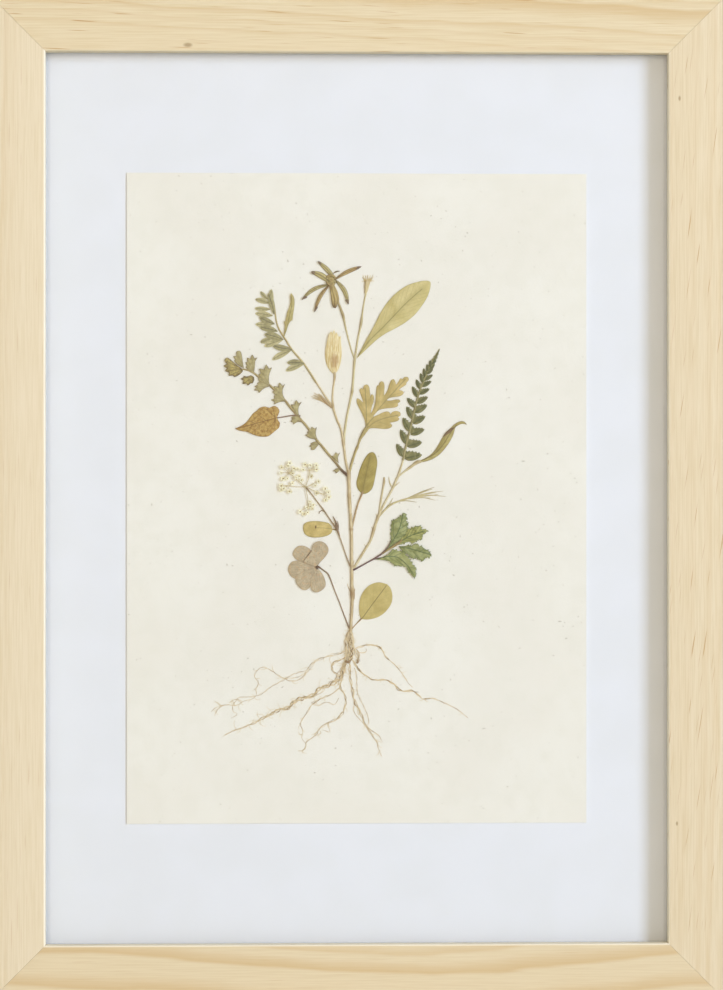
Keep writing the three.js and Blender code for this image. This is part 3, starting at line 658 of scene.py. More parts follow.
def dried_stalk(name, pale, deep, brown, fleck=0.35, painted_shade_and_line=0.8):
    """Dried stalk skin: long pale and tan fibres, the left-facing side greyed with painted shade, a thin
    brown line along the right-facing side, and brown wherever the points say so."""
    skin = Finish(name, 0.62)
    where = skin.where_mm()
    along_mm = skin.times(skin.attribute("along"), 1000)
    ring = skin.axes(skin.scaled(skin.attribute("skin", "Vector"), fibre_scale))
    fibres = skin.noise(skin.vector(ring[0], ring[1], skin.times(along_mm, 0.22)), 1.6, 4)
    patches = skin.noise(where, 0.32, 2)
    pits = skin.noise(where, 1.9, 2)
    facing = skin.axes(skin.add("ShaderNodeNewGeometry")["Normal"])[0]
    painted_shade_grey = (deep[0] * 0.78, deep[1] * 0.77, deep[2] * 0.8)
    shade = skin.mix(skin.ease(fibres, 0.36, 0.66), pale, deep)
    shade = skin.mix(skin.ease(patches, 0.5, 0.75, 0, 0.45), shade, deep)
    shade = skin.mix(skin.ease(pits, 0.6, 0.7, 0, fleck), shade, brown)
    # Painted shade: the left-facing side of the stalk, turned away from the window lamp, is greyed.
    shade = skin.mix(skin.ease(facing, -0.85, -0.05, painted_shade_and_line, 0), shade, painted_shade_grey)
    shade = skin.mix(skin.ease(facing, 0.72, 0.92, 0, painted_shade_and_line * 0.7), shade, brown)
    stain = skin.maths(
        "MULTIPLY", skin.attribute("dark"), skin.ease(fibres, 0.2, 0.6, 1.1, 0.8), clamp=True,
    )
    skin.bump(fibres, 0.12, 0.6)
    return skin.colour(skin.mix(stain, shade, brown))


def one_piece(node, parts, name=""):
    """Joins the parts into the one piece that stands for a CAD node."""
    bpy.ops.object.select_all(action="DESELECT")
    for part in parts:
        part.select_set(True)
    piece = parts[0]
    bpy.context.view_layer.objects.active = piece
    if len(parts) > 1:
        bpy.ops.object.join()
    piece.name = name or f"{node}_dried"
    piece.data.name = piece.name
    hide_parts(node)
    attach(piece, "root")


straw_skin = dried_stalk("straw_stalk", (232, 216, 176), (206, 182, 134), (150, 110, 66))
pale_skin = dried_stalk("pale_stalk", (230, 218, 174), (202, 186, 134), (148, 120, 74))
right_wood = dried_stalk("branch_stalk", (234, 222, 182), (208, 190, 142), (160, 128, 82))
main_run = [
    (0, -0.6, 1.5, 0.4), (0.2, 3, 1.4, 0.2), (0.5, 8, 1.4, 0.3), (0.8, 13.6, 1.6, 0.3), (0.9, 14.8, 2, 0.6),
    (0.85, 16.6, 2.11, 0.8), (0.8, 18.4, 1.9, 0.4), (0.6, 20.5, 1.5, 0.1), (0.6, 27.2, 1.5),
    (0.7, 29, 1.9, 0.35), (0.5, 30.6, 1.5), (0.5, 38.9, 1.5, 0.1), (0.35, 44.6, 1.5, 0.1),
    (0.35, 45.8, 1.94, 0.7), (0.25, 47, 1.58), (-0.15, 54, 1.5), (-0.55, 60.5, 1.67, 0.2),
    (-0.65, 65.1, 1.5), (-0.85, 69.6, 1.76, 0.2), (-0.85, 71.6, 1.85, 0.5), (-1.05, 73, 1.41, 0.2),
]
bark_curls = [
    [(-0.05, 17.4, 0.44, 0.4), (-1.15, 19.6, 0.31, 0.3), (-1.35, 21, 0.18)],
    [(1.25, 16, 0.44, 0.5), (2.05, 18.6, 0.26, 0.4)], [(1.05, 12.8, 0.35, 0.4), (1.85, 14.4, 0.18, 0.3)],
    [(-0.25, 59.5, 0.44, 0.2), (-1.55, 61.3, 0.22, 0.3)], [(1.15, 30, 0.44), (1.65, 31.6, 0.18)],
]
main_stem_runs = [main_run, *bark_curls]
left_fork_runs = [
    [
        (-0.95, 70.8, 1.14, 0.3), (-2.15, 77, 1.06), (-2.95, 83, 1.14), (-3.15, 85, 1.5, 0.35),
        (-3.65, 88, 1.06), (-4.65, 92.2, 0.97, 0.1), (-6.25, 96, 0.97), (-7.75, 100.6, 1.06),
        (-8.05, 102.2, 1.32, 0.4), (-8.25, 105, 0.88), (-8.05, 109.5, 0.79), (-7.45, 113.6, 0.88, 0.2),
        (-7.25, 115.4, 1.14, 0.35), (-7.35, 117.8, 1.14, 0.2),
    ],
    [(-7.85, 101.4, 0.97, 0.3), (-10.25, 104.6, 0.88), (-13.05, 108.9, 0.84), (-15.85, 113.2, 0.79)],
    [(-2.85, 85.2, 0.44, 0.4), (-4.25, 86.6, 0.22, 0.4)],
]
centre_fork_runs = [
    [
        (-3, 85, 1.06, 0.2), (-2.8, 89.4, 1.06), (-1.75, 96.8, 1), (-0.4, 103.4, 0.97),
        (0.4, 107, 1.14, 0.15), (0.7, 108.8, 1.3, 0.4), (0.95, 110.8, 1.06), (1.4, 117, 0.97),
        (1.85, 122.8, 1.14, 0.2), (2.3, 126, 0.88), (3.25, 132.2, 0.84), (4.15, 136.6, 0.88, 0.1),
        (4.7, 139.4, 1.23, 0.5), (5.05, 141.6, 1.14, 0.35), (5.4, 144.4, 0.79), (6.05, 148.7, 0.7),
        (6.95, 153.6, 0.75), (7.35, 155.4, 0.97),
    ],
]
star_stem_runs = [
    [
        (1.8, 123.8, 0.79), (0.5, 127.4, 0.66), (-0.8, 132, 0.66), (-2.15, 137.6, 0.79, 0.15),
        (-2.85, 140.9, 0.97, 0.35), (-3.35, 143.4, 1.32, 0.7), (-4.15, 145.6, 1.23, 0.6),
        (-4.95, 147.8, 1.1, 0.5), (-5.75, 149.6, 1.2, 0.5),
    ],
]
right_branch_runs = [
    [
        (0.95, 27.4, 1.06, 0.2), (2.95, 30.4, 1.14), (5.15, 34.2, 1.14, 0.35), (8.75, 40, 1.14, 0.1),
        (9.95, 43.2, 1.32, 0.3), (10.65, 45.6, 1.5, 0.6), (11.45, 48.2, 1.23), (12.5, 51.2, 1.41, 0.5),
        (13.4, 53.4, 1.14, 0.15), (15.55, 57.8, 0.97), (19.15, 64.4, 1.06, 0.15), (20.45, 67.4, 1.06),
        (21.75, 70.2, 1.14, 0.2), (23.15, 74.6, 0.88), (24.55, 79, 0.88),
    ],
    [(19.25, 64.6, 0.79), (17.95, 67, 0.62), (17.45, 69.8, 0.31, 0.3)],
    [(19.55, 65, 0.7), (20.95, 66.2, 0.53), (22.45, 67.4, 0.26, 0.2)],
    [(12.95, 52.2, 0.97), (13.75, 58, 0.92, 0.1), (14.65, 63.6, 0.88, 0.15), (15.35, 67.4, 1.01, 0.5),
        (15.35, 69.6, 0.7, 0.6)],
    [(10.55, 45, 0.53, 0.5), (9.55, 47, 0.22, 0.4)], [(7.15, 37.4, 0.44, 0.3), (6.35, 39, 0.18, 0.3)],
    [(12.25, 50.4, 0.53), (11.55, 53, 0.26, 0.2)],
]
for name, node, runs, skin in (
    ("stem_main", "stem_main", main_stem_runs, straw_skin),
    ("stem_left", "stem_left_fork", left_fork_runs, straw_skin),
    ("stem_centre", "stem_centre_fork", centre_fork_runs, pale_skin),
    ("stem_star", "stem_star", star_stem_runs, pale_skin),
    ("stem_right", "stem_right_branch", right_branch_runs, right_wood),
):
    one_piece(node, [stalks(name, runs, skin)], f"{name}_dried")


# Star seed head
# An opened seed head of seven narrow dry valves round a small knobbly heart, the lowest still shut,
# pressed onto its stem. They are olive-brown, darker along one edge and at the tips.
dry_rim_mm = 0.3
dry_swell_mm = 1.2
rib_round_mm = 0.3
vein_round_mm = 0.18
farthest_mm = 9
net_scale = 1.5
lowest_vein = 0.1
highest_vein = 0.9


def smooth_line(points, closed=False, step_mm=0.4):
    """A smooth line through the points. A point with a third value is a sharp corner."""
    count = len(points)
    spots = [Vector(point[:2]) for point in points]
    ends = () if closed else (0, count - 1)
    sharp = [len(point) > 2 or index in ends for index, point in enumerate(points)]

    def lean(at):
        before = spots[at - 1]
        after = spots[(at + 1) % count]
        return (after - before) / ((after - spots[at]).length + (spots[at] - before).length)

    line = []
    for index in range(count if closed else count - 1):
        ahead = (index + 1) % count
        span = (spots[ahead] - spots[index]).length
        straight = (spots[ahead] - spots[index]) / span
        leave = straight if sharp[index] else lean(index)
        arrive = straight if sharp[ahead] else lean(ahead)
        steps = max(2, round(span / step_mm))
        for step in range(steps):
            part = step / steps
            line.append(
                spots[index] * (2 * part ** 3 - 3 * part ** 2 + 1)
                + leave * span * (part ** 3 - 2 * part ** 2 + part)
                + spots[ahead] * (3 * part ** 2 - 2 * part ** 3) + arrive * span * (part ** 3 - part ** 2)
            )
    if not closed:
        line.append(spots[-1])
    return np.array([tuple(spot) for spot in line])


def round_again(outline):
    """The outline with its first point once more at its end."""
    return np.vstack([outline, outline[:1]])


def reach_of(spots, lines):
    """How far each spot is from the nearest of the lines."""
    nearest = np.full(len(spots), 50.0)
    for line in lines:
        start, end = line[:-1], line[1:]
        span = end - start
        size = np.maximum((span ** 2).sum(1), 1e-9)
        share = np.clip(((spots[:, None] - start) * span).sum(2) / size, 0, 1)
        foot = start + share[..., None] * span
        nearest = np.minimum(nearest, np.sqrt(((spots[:, None] - foot) ** 2).sum(2)).min(1))
    return nearest


def inside_of(spots, outline):
    """Which of the spots lie inside the outline."""
    start, end = outline, np.roll(outline, -1, axis=0)
    above = (start[:, 1] > spots[:, None, 1]) != (end[:, 1] > spots[:, None, 1])
    rise = np.where(start[:, 1] == end[:, 1], 1e-9, end[:, 1] - start[:, 1])
    cross = (end[:, 0] - start[:, 0]) * (spots[:, None, 1] - start[:, 1]) / rise + start[:, 0]
    return (above & (spots[:, None, 0] < cross)).sum(1) % 2 == 1


def within(lines, outline):
    """The lines that stay inside the outline all the way."""
    return [line for line in lines if inside_of(line, outline).all()]


def sheet_points(name, outline, guides, grid):
    """The outline and guide lines, with uneven rows of points filling the room between them, and the
    edges that the triangles keep to."""
    chance = np.random.default_rng(sum(name.encode()))
    low, high = outline.min(0), outline.max(0)
    columns = np.arange(low[0], high[0], grid)
    rows = np.arange(low[1], high[1], grid * 0.87)
    lattice = np.array([
        (column + (index % 2) * grid / 2, row) for index, row in enumerate(rows) for column in columns
    ])
    lattice = lattice + chance.uniform(-0.16, 0.16, lattice.shape) * grid
    lattice = lattice[inside_of(lattice, outline)]
    free = reach_of(lattice, [round_again(outline)]) > grid * 0.45
    free &= reach_of(lattice, guides) > grid * 0.42
    spots = [*map(tuple, outline)]
    edges = [(index, (index + 1) % len(outline)) for index in range(len(outline))]
    for line in guides:
        first = len(spots)
        spots += [*map(tuple, line)]
        edges += [(index, index + 1) for index in range(first, len(spots) - 1)]
    return spots + [*map(tuple, lattice[free])], edges


def sheet_triangles(spots, edges, outline):
    """Even triangles between the spots, inside the outline and all turned the same way."""
    found = geometry.delaunay_2d_cdt([Vector(spot) for spot in spots], edges, [], 1, 1e-5)
    spots = np.array([tuple(spot) for spot in found[0]])
    triangles = [tuple(face) for face in found[2]]
    centres = np.array([spots[list(face)].mean(0) for face in triangles])
    triangles = [face for face, kept in zip(triangles, inside_of(centres, outline)) if kept]
    used = sorted({corner for face in triangles for corner in face})
    renumber = {old: new for new, old in enumerate(used)}
    spots = spots[used]
    turned = []
    for face in triangles:
        first, second, third = (renumber[corner] for corner in face)
        a, b, c = spots[first], spots[second], spots[third]
        area = (b[0] - a[0]) * (c[1] - a[1]) - (b[1] - a[1]) * (c[0] - a[0])
        turned.append((first, second, third) if area > 0 else (first, third, second))
    return spots, turned


def sheet_solid(front_faces, count):
    """The faces of a closed sheet: its front, its back and the rim that joins them."""
    back = [(third + count, second + count, first + count) for first, second, third in front_faces]
    faces = front_faces + back
    sides = {side: True for face in front_faces for side in zip(face, face[1:] + face[:1])}
    for start, end in sides:
        if (end, start) not in sides:
            faces.append((end, start, start + count, end + count))
    return faces


def side_veins(rib, outline, count, angle, reach=0.8, curl=0.25):
    """Side veins that leave the midrib in pairs and bend towards the tip."""
    lines = []
    edge = round_again(outline)
    edge_start, span = edge[:-1], np.diff(edge, axis=0)
    for share in np.linspace(lowest_vein, highest_vein, count):
        place = share * (len(rib) - 1)
        index = min(int(place), len(rib) - 2)
        ahead = rib[index + 1] - rib[index]
        foot = rib[index] + (place - index) * ahead
        ahead = ahead / np.linalg.norm(ahead)
        for turn in (angle, -angle):
            cos, sin = math.cos(turn), math.sin(turn)
            away = np.array((ahead[0] * cos - ahead[1] * sin, ahead[0] * sin + ahead[1] * cos))
            spread = away[0] * span[:, 1] - away[1] * span[:, 0]
            spread = np.where(np.abs(spread) < 1e-9, 1e-9, spread)
            gap = edge_start - foot
            run = (gap[:, 0] * span[:, 1] - gap[:, 1] * span[:, 0]) / spread
            part = (gap[:, 0] * away[1] - gap[:, 1] * away[0]) / spread
            hits = run[(run > 0.05) & (part >= 0) & (part <= 1)]
            if not len(hits):
                continue
            long = hits.min() * reach
            shares = np.linspace(0.06, 1, max(3, round(long / 0.5)))
            lines.append(foot + np.outer(shares * long, away) + np.outer(shares ** 2 * long * curl, ahead))
    return within(lines, outline)


def pressed_sheet(
    name, outline, material, ribs=(), veins=(), pairs=(), rest=0.05, thick=0.22, crown=0.2, wave=0.15,
    relief=0.07, grid=0.55,
):
    """A thin closed sheet with this outline. ribs and veins are lines that stand out a little, and
    the finish reads how far each point is from them and from the edge. pairs is what side_veins takes
    for the side veins of the first rib. rest is the gap under the sheet, crown how far its middle
    swells, wave how far it buckles and grid the size of its triangles."""
    if pairs:
        veins = side_veins(ribs[0], outline, *pairs)
    guides = [line for line in (*ribs, *veins) if len(line) > 1]
    spots, triangles = sheet_triangles(*sheet_points(name, outline, guides, grid), outline)
    edge_gap = reach_of(spots, [round_again(outline)])
    rib_gap = reach_of(spots, ribs)
    vein_gap = reach_of(spots, veins)
    body = thick * (0.35 + 0.65 * (1 - np.exp(-edge_gap / dry_rim_mm)))
    bulge = 1 - np.exp(-edge_gap / dry_swell_mm)
    ripple = np.array([noise.noise(Vector((x * 0.16, y * 0.16, len(name)))) for x, y in spots])
    crinkle = np.array([noise.noise(Vector((x * 0.55, y * 0.55, len(name) + 5))) for x, y in spots])
    front = rest + body + crown * bulge + wave * (ripple + 0.35 * crinkle + 0.45)
    front += relief * np.exp(-(rib_gap / rib_round_mm) ** 2)
    front += relief * 0.5 * np.exp(-(vein_gap / vein_round_mm) ** 2)
    front = np.maximum(front, rest + thick * 0.3 + 0.02)
    back = np.maximum(front - body, rest * 0.5 + 0.01)

    verts = [laid(x, y, lift) for side in (front, back) for (x, y), lift in zip(spots, side)]
    mesh = new_mesh(name, verts, [], sheet_solid(triangles, len(spots)))
    for key, gap in (("edge", edge_gap), ("rib", rib_gap), ("vein", vein_gap)):
        mark(mesh, key, np.tile(np.minimum(gap, farthest_mm), 2))
    mesh.materials.append(material)
    mesh.shade_smooth()
    mesh.set_sharp_from_angle(angle=math.radians(55))
    return add_object(name, mesh)


def leaf_finish(
    name, pale, deep, rib, rim, mottle=0.22, patchy=0.8, vein=0.5, rib_mm=0.16, rim_mm=0.5, rim_share=0.6,
    spot=None, spot_share=0.0, net=0.25, rough=0.7, band_mm=0.0,
):
    """Dried leaf skin: mottled between a pale and a deep tone, with a fine net of veins, the midrib
    and side veins picked out, a browned rim and, where spot is given, small darker stains."""
    leaf = Finish(name, rough)
    x, y, z = leaf.axes(leaf.where_mm())
    flat = leaf.vector(x, 0, z)
    cloud = leaf.noise(flat, mottle, 4, 0.4)
    cells = leaf.noise(flat, 2.6, 4)
    spread = 0.16 / patchy
    shade = leaf.mix(leaf.ease(cloud, 0.5 - spread, 0.5 + spread), pale, deep)
    shade = leaf.mix(leaf.ease(cells, 0.42, 0.78, 0, 0.35), shade, tuple(channel * 0.8 for channel in deep))
    shift = leaf.vector(leaf.times(cells, 0.9), 0, leaf.times(cloud, 1.2))
    bent = leaf.add("ShaderNodeVectorMath", {0: flat, 1: shift}, operation="ADD")[0]
    net_cells = {"Vector": bent, "Scale": net_scale}
    net_edge = leaf.add("ShaderNodeTexVoronoi", net_cells, feature="DISTANCE_TO_EDGE")["Distance"]
    netting = leaf.ease(net_edge, 0, 0.1, 1, 0)
    shade = leaf.mix(leaf.times(netting, net), shade, rib)
    if spot:
        shade = leaf.mix(leaf.ease(leaf.noise(flat, 0.8, 3), 0.6, 0.68, 0, spot_share), shade, spot)
    shade = leaf.mix(leaf.ease(leaf.attribute("vein"), 0.05, 0.2, vein, 0), shade, rib)
    if band_mm:
        band = leaf.ease(leaf.attribute("rib"), 0, band_mm, 0.5, 0)
        shade = leaf.mix(band, shade, tuple(channel * 0.88 for channel in deep))
    from_rim = leaf.maths("SUBTRACT", leaf.attribute("edge"), rim_mm)
    uneven_rim = leaf.maths("MULTIPLY_ADD", leaf.noise(flat, 1.1, 2), rim_mm * 2, from_rim)
    shade = leaf.mix(leaf.ease(uneven_rim, 0, rim_mm, rim_share, 0), shade, rim)
    shade = leaf.mix(leaf.ease(leaf.attribute("rib"), rib_mm * 0.5, rib_mm * 1.7, 0.9, 0), shade, rib)
    leaf.bump(leaf.maths("MULTIPLY_ADD", netting, 0.5, cells), 0.09, 0.6)
    return leaf.colour(shade)


def leaflet(base, tip, wide, bow=0.0, fullest=0.5, blunt=0.7, teeth=0, tooth=0.0):
    """The outline and midrib of a leaflet from its base to its tip. bow bends it sideways."""
    base, tip = np.array(base, float), np.array(tip, float)
    long = tip - base
    side = np.array((-long[1], long[0])) / np.linalg.norm(long)
    steps = max(10, round(np.linalg.norm(long) / 0.45))
    shares = np.linspace(0, 1, steps + 1)
    spine = base + shares[:, None] * long + side * (bow * np.sin(np.pi * shares))[:, None]
    warped = shares ** (math.log(0.5) / math.log(fullest))
    swell = np.sin(np.pi * warped) ** blunt
    saw = 1 + tooth * np.abs(np.sin(np.pi * teeth * shares)) - tooth / 2 if teeth else 1
    half = side * (swell * saw * wide / 2)[:, None]
    outline = np.vstack([(spine + half)[:-1], (spine - half)[::-1][:-1]])
    return outline, spine[:round(steps * 0.9) + 1]


olive_brown = leaf_finish(
    "seed_valve", (218, 205, 144), (190, 175, 118), (124, 106, 66), (108, 88, 58), mottle=0.5,
    rim_share=0.7,
    net=0.1, spot=(164, 122, 78), spot_share=0.6,
)
brown_valve = leaf_finish(
    "brown_valve", (214, 190, 126), (188, 160, 104), (128, 100, 66), (118, 92, 66), mottle=0.5,
    rim_share=0.7,
    net=0.1, spot=(150, 114, 80), spot_share=0.6,
)
valve_tip = leaf_finish(
    "valve_tip", (158, 136, 106), (130, 110, 88), (96, 78, 62), (98, 80, 66), mottle=0.6, net=0.1,
)
valves = [
    ((-7.4, 160.6), (-15, 168.3), 2, -0.3, 0.45, 0), ((-9.4, 158.7), (-18.1, 163.5), 2.6, -0.7, 0.45, 0),
    ((-7.9, 159.4), (5, 165.9), 1.75, 0.7, 0.58, 1), ((-7.6, 160.2), (-1, 148.5), 1.9, 1.5, 0.52, 0),
    ((-9.2, 157.6), (-22.4, 150.5), 1.7, -1.7, 0.5, 0), ((-9.6, 157.6), (-16.5, 145), 1.6, -1.1, 0.5, 1),
    ((-8, 162.6), (-4.8, 163.8), 0.6, 0.35, 0.5, 0),
]
star_parts = []
for index, (base, tip, wide, bow, fullest, browned) in enumerate(valves):
    outline, rib = leaflet(base, tip, wide * 1.08, bow, fullest, 0.55)
    layer = 0.12 * (index % 3)
    star_parts.append(pressed_sheet(
        f"valve_{index + 1}", outline, brown_valve if browned else olive_brown, [rib], rest=0.15 + layer,
        crown=0.5, wave=0.25, relief=0.12, grid=0.4,
    ))
    if wide > 1:
        end = np.array(tip) + (np.array(base) - np.array(tip)) * 0.2
        outline, rib = leaflet(end, tip, wide * 0.62, bow * 0.2, 0.35, 0.8)
        star_parts.append(pressed_sheet(
            f"valve_tip_{index + 1}", outline, valve_tip, rest=0.75 + layer, thick=0.1, crown=0.1, wave=0.1,
            grid=0.35,
        ))
valve_skin = dried_stalk("valve_stalk", (208, 186, 124), (168, 144, 92), (104, 78, 52), 0.5)
star_heart = smooth_line([
    (-11.4, 160.6), (-10.2, 161.7), (-8, 162), (-6.6, 160.6), (-6.6, 158.8), (-7.6, 157.2), (-9.8, 156.6),
    (-11.2, 158.2),
], True)
shut_valve = [
    [(-9, 158, 1.4, 0.3), (-8.2, 156, 1.7, 0.1), (-7.2, 152.6, 1.7), (-6.8, 149.6, 1.8, 0.1),
        (-7, 147.8, 1.4, 0.8), (-7.2, 147.1, 0.9, 1)],
    [(-9.6, 157.4, 1, 0.4), (-8.7, 154.4, 1.2, 0.1), (-8.1, 150.6, 1.5), (-7.9, 148.6, 1.2, 0.4),
        (-7.6, 147.2, 0.9, 1)],
    [(-7.8, 157.2, 0.8, 0.1), (-6.6, 154.6, 1.1), (-5.8, 151.4, 1.1, 0.2), (-5.8, 149, 0.9, 0.4)],
]
heart_knobs = [
    [(-11, 160.6, 0.8, 0.4), (-10.3, 161.5, 1, 0.1), (-9, 161.8, 0.9, 0.4), (-7.6, 161.3, 1, 0.1),
        (-7, 160.2, 0.8, 0.4)],
    [(-11, 158.9, 0.8, 0.5), (-10.3, 157.9, 1, 0.2), (-9, 157.6, 0.9, 0.5), (-7.8, 158.2, 0.9, 0.1)],
    [(-9.6, 160.4, 1.3, 0), (-8.6, 160.2, 1.5, 0.1), (-8.4, 159.2, 1.3, 0), (-9.5, 159.2, 1.3, 0.2)],
    [(-10.7, 160, 0.7, 1), (-10.6, 159.4, 0.7, 1)], [(-7.5, 158.9, 0.6, 1), (-7.4, 158.5, 0.6, 1)],
    [(-10.5, 158.6, 0.5, 1), (-10.2, 158.5, 0.5, 1)],
]
star_parts += [
    pressed_sheet("star_heart", star_heart, olive_brown, rest=0.1, grid=0.4, wave=0.2),
    stalks("shut_valve", shut_valve, valve_skin, wander=0.3, rest=0.3, bumps=0.3),
    stalks(
        "heart_knobs", heart_knobs, valve_skin, wander=0.3, wander_length=1.5, rest=0.75, bumps=0.5,
        step=0.3,
    ),
]
one_piece("star_seed_head", star_parts)


# Flower tuft
# A spent flower at the tip of the centre fork: a narrow dry cup with a brush of short tan bristles.
tuft_bristles = 22
tuft_skin = dried_stalk("tuft_stalk", (238, 222, 174), (208, 188, 132), (148, 104, 60), 0.5)
tuft_runs = [[(6.8, 153.6, 1.1), (7.2, 156, 1.9, 0.1), (7.6, 158.2, 2.4, 0.2), (7.8, 159.4, 2, 0.3)]]
for index in range(tuft_bristles):
    spread = index / (tuft_bristles - 1) * 2 - 1
    top = 158.9 + 3.2 * abs(math.sin(index * 2.4))
    tuft_runs.append([
        (7.4 + 0.6 * spread, 157.6, 0.4, 0.1), (7.7 + 1.5 * spread, 159.3, 0.34, 0.2),
        (7.9 + 2.9 * spread, top, 0.22, 0.7 * (index % 3 == 1)),
    ])
tuft = stalks("flower_tuft", tuft_runs, tuft_skin, wander=0.4, wander_length=1.5, flat=0.5)
one_piece("flower_tuft", [tuft])


# Yellow bud
# A pale yellow flower bud pressed shut. Layered papery petals end in a ragged top, thin enough for
# the brown ovary to show through near the base.
ovary_right_mm, ovary_up_mm = -7.4, 122.6
ovary_wide_mm, ovary_tall_mm = 2.5, 4.4


def bud_petal(name):
    petal = Finish(name, 0.6)
    x, y, z = petal.axes(petal.where_mm())
    streaks = petal.noise(petal.vector(petal.times(x, 1.5), 0, petal.times(z, 0.16)), 1.4, 3, 0.3)
    shade = petal.mix(petal.ease(streaks, 0.35, 0.62), (250, 238, 196), (222, 196, 134))
    across = petal.maths("SUBTRACT", x, collar_right_mm + ovary_right_mm)
    upward = petal.maths("SUBTRACT", z, collar_up_mm + ovary_up_mm)
    across = petal.maths("DIVIDE", across, ovary_wide_mm)
    upward = petal.maths("DIVIDE", upward, ovary_tall_mm)
    uneven = petal.maths("MULTIPLY_ADD", petal.noise(petal.vector(x, 0, z), 0.9, 2), 0.8, -0.4)
    away = petal.maths("ADD", petal.distance(across, upward), uneven)
    shade = petal.mix(petal.ease(away, 0.35, 1, 0.68, 0), shade, (180, 136, 86))
    shade = petal.mix(petal.ease(petal.attribute("edge"), 0, 0.5, 0.35, 0), shade, (238, 214, 146))
    petal.bump(streaks, 0.12, 0.7)
    return petal.colour(shade)


bud_skin = bud_petal("bud_petal")
bud_outline = [
    (-7.7, 116.9), (-9.4, 118.3), (-11, 121.2), (-11.7, 125), (-11.4, 129), (-10.5, 132.4), (-9.9, 134.9),
    (-9.5, 133.9, 1), (-9, 136.3, 1), (-8.3, 134.9, 1), (-7.5, 137, 1), (-6.9, 134.8, 1), (-6.4, 135.9, 1),
    (-5.6, 133.6, 1), (-4.5, 134.1, 1), (-4.4, 131, 1), (-4.1, 127.6), (-4.2, 124), (-4.9, 120.6),
    (-6.1, 118),
]
inner_petals = [
    ((-7.9, 118.2), (-9, 136), 3.8, 0.5), ((-7.4, 118.2), (-6.3, 135.2), 3.8, -0.6),
    ((-7.7, 119), (-7.6, 136.6), 3, 0.1),
]
bud_wrap = smooth_line(bud_outline, True)
bud_parts = [pressed_sheet("bud_wrap", bud_wrap, bud_skin, rest=0.1, crown=0.5, wave=0.2, grid=0.5)]
for index, (base, tip, wide, bow) in enumerate(inner_petals):
    outline, rib = leaflet(base, tip, wide, bow, 0.55, 0.6)
    bud_parts.append(pressed_sheet(
        f"bud_petal_{index + 1}", outline, bud_skin, [rib], rest=0.75 + 0.14 * index, crown=0.15, wave=0.25,
        thick=0.12, grid=0.5,
    ))
one_piece("yellow_bud", bud_parts)


# Feathery bract
# A small shrivelled bract at the vetch fork, split into thin tan lobes.
bract_lobes = 9
bract_skin = dried_stalk("bract_strand", (216, 198, 154), (192, 166, 120), (160, 118, 84), 0.3)
bract_runs = [
    [(-8.6, 101.3, 0.7, 0.4), (-10.6, 103.4, 1, 0.3), (-12.6, 105.4, 0.8, 0.4), (-13.8, 106.6, 0.4, 0.4)],
    [(-9.3, 101.9, 0.4, 0.6), (-11.6, 103.4, 0.4, 0.6), (-13.6, 104.6, 0.3, 0.5)],
]
for index in range(bract_lobes):
    lean = index / (bract_lobes - 1) * 2 - 1
    reach = 0.8 + 0.2 * math.sin(index * 2.3)
    bract_runs.append([
        (-11.2 + 0.3 * lean, 103.9 + 0.4 * lean, 0.4, 0.3),
        (-13.6 + 0.7 * lean, 105.6 + 0.8 * lean, 0.4, 0.1),
        (-11.2 - 6.2 * reach + 1.1 * lean, 103.9 + 3.8 * reach + 1.2 * lean, 0.22, 0.1),
    ])
bract = stalks("feathery_bract", bract_runs, bract_skin, wander=0.6, wander_length=1.6, flat=0.5, rest=0.2)
one_piece("feathery_bract", [bract])


# Vetch leaf
# A compound leaf with sixteen narrow leaflets in overlapping pairs, closing up towards its tip.
# The leaflets are thin and grey-olive, paler at the rim, with a fine straight midrib.
vetch_skin = leaf_finish(
    "vetch_leaflet", (228, 216, 167), (202, 191, 141), (134, 126, 86), (200, 192, 146), mottle=0.3,
    rim_share=0.4, net=0.12,
)
vetch_dark = leaf_finish(
    "vetch_tip_leaflet", (200, 190, 140), (176, 166, 120), (108, 102, 72), (150, 144, 104), mottle=0.4,
    rim_share=0.4, net=0.12,
)
vetch_stalk = dried_stalk("vetch_stalk", (214, 198, 146), (180, 158, 108), (146, 120, 80), 0.25)
vetch_leaflets = [
    ((-35.6, 148.4), (-36.2, 155.5), 1.9, 0.4, 2, 0), ((-37.8, 150.8), (-41.2, 154.5), 1.6, 0.2, 1, 0),
    ((-34.9, 143.8), (-37.7, 153.7), 2.2, -0.3, 3, 1), ((-37.2, 149), (-43.5, 150.9), 2.1, -0.2, 1, 0),
    ((-36.6, 146.3), (-43.9, 146.7), 1.9, 0.1, 1, 0), ((-35.5, 143.3), (-43.6, 144.4), 2.3, -0.2, 1, 0),
    ((-34.6, 139.5), (-41.7, 142.8), 2.4, 0.3, 3, 1), ((-35, 139.7), (-43.5, 139.4), 2.3, 0.2, 1, 0),
    ((-33.2, 136.2), (-41.7, 138.2), 2.5, -0.2, 2, 1), ((-30.6, 132.3), (-39.4, 135), 2.8, -0.3, 3, 1),
    ((-36.2, 133.4), (-41.2, 131.1), 2.1, 0.2, 1, 0), ((-30.8, 132.5), (-39.4, 129.3), 2.6, -0.2, 2, 0),
    ((-26.7, 127.9), (-35.8, 129.7), 2.4, 0.2, 2, 1), ((-27.1, 127.6), (-35.9, 123.1), 2.3, -0.3, 1, 0),
    ((-21.1, 121.5), (-29.1, 121.9), 2.3, -0.4, 2, 1), ((-21.4, 121.3), (-29.7, 118.1), 2.3, -0.3, 1, 0),
]
vetch_parts = []
for index, (base, tip, wide, bow, layer, dark) in enumerate(vetch_leaflets):
    outline, rib = leaflet(base, tip, wide * 1.2, bow, 0.55, 0.62)
    vetch_parts.append(pressed_sheet(
        f"vetch_{index + 1}", outline, vetch_dark if dark else vetch_skin, [rib], pairs=(5, 0.6),
        rest=0.08 + 0.16 * layer, thick=0.12, crown=0.15, wave=0.14, relief=0.05, grid=0.5,
    ))
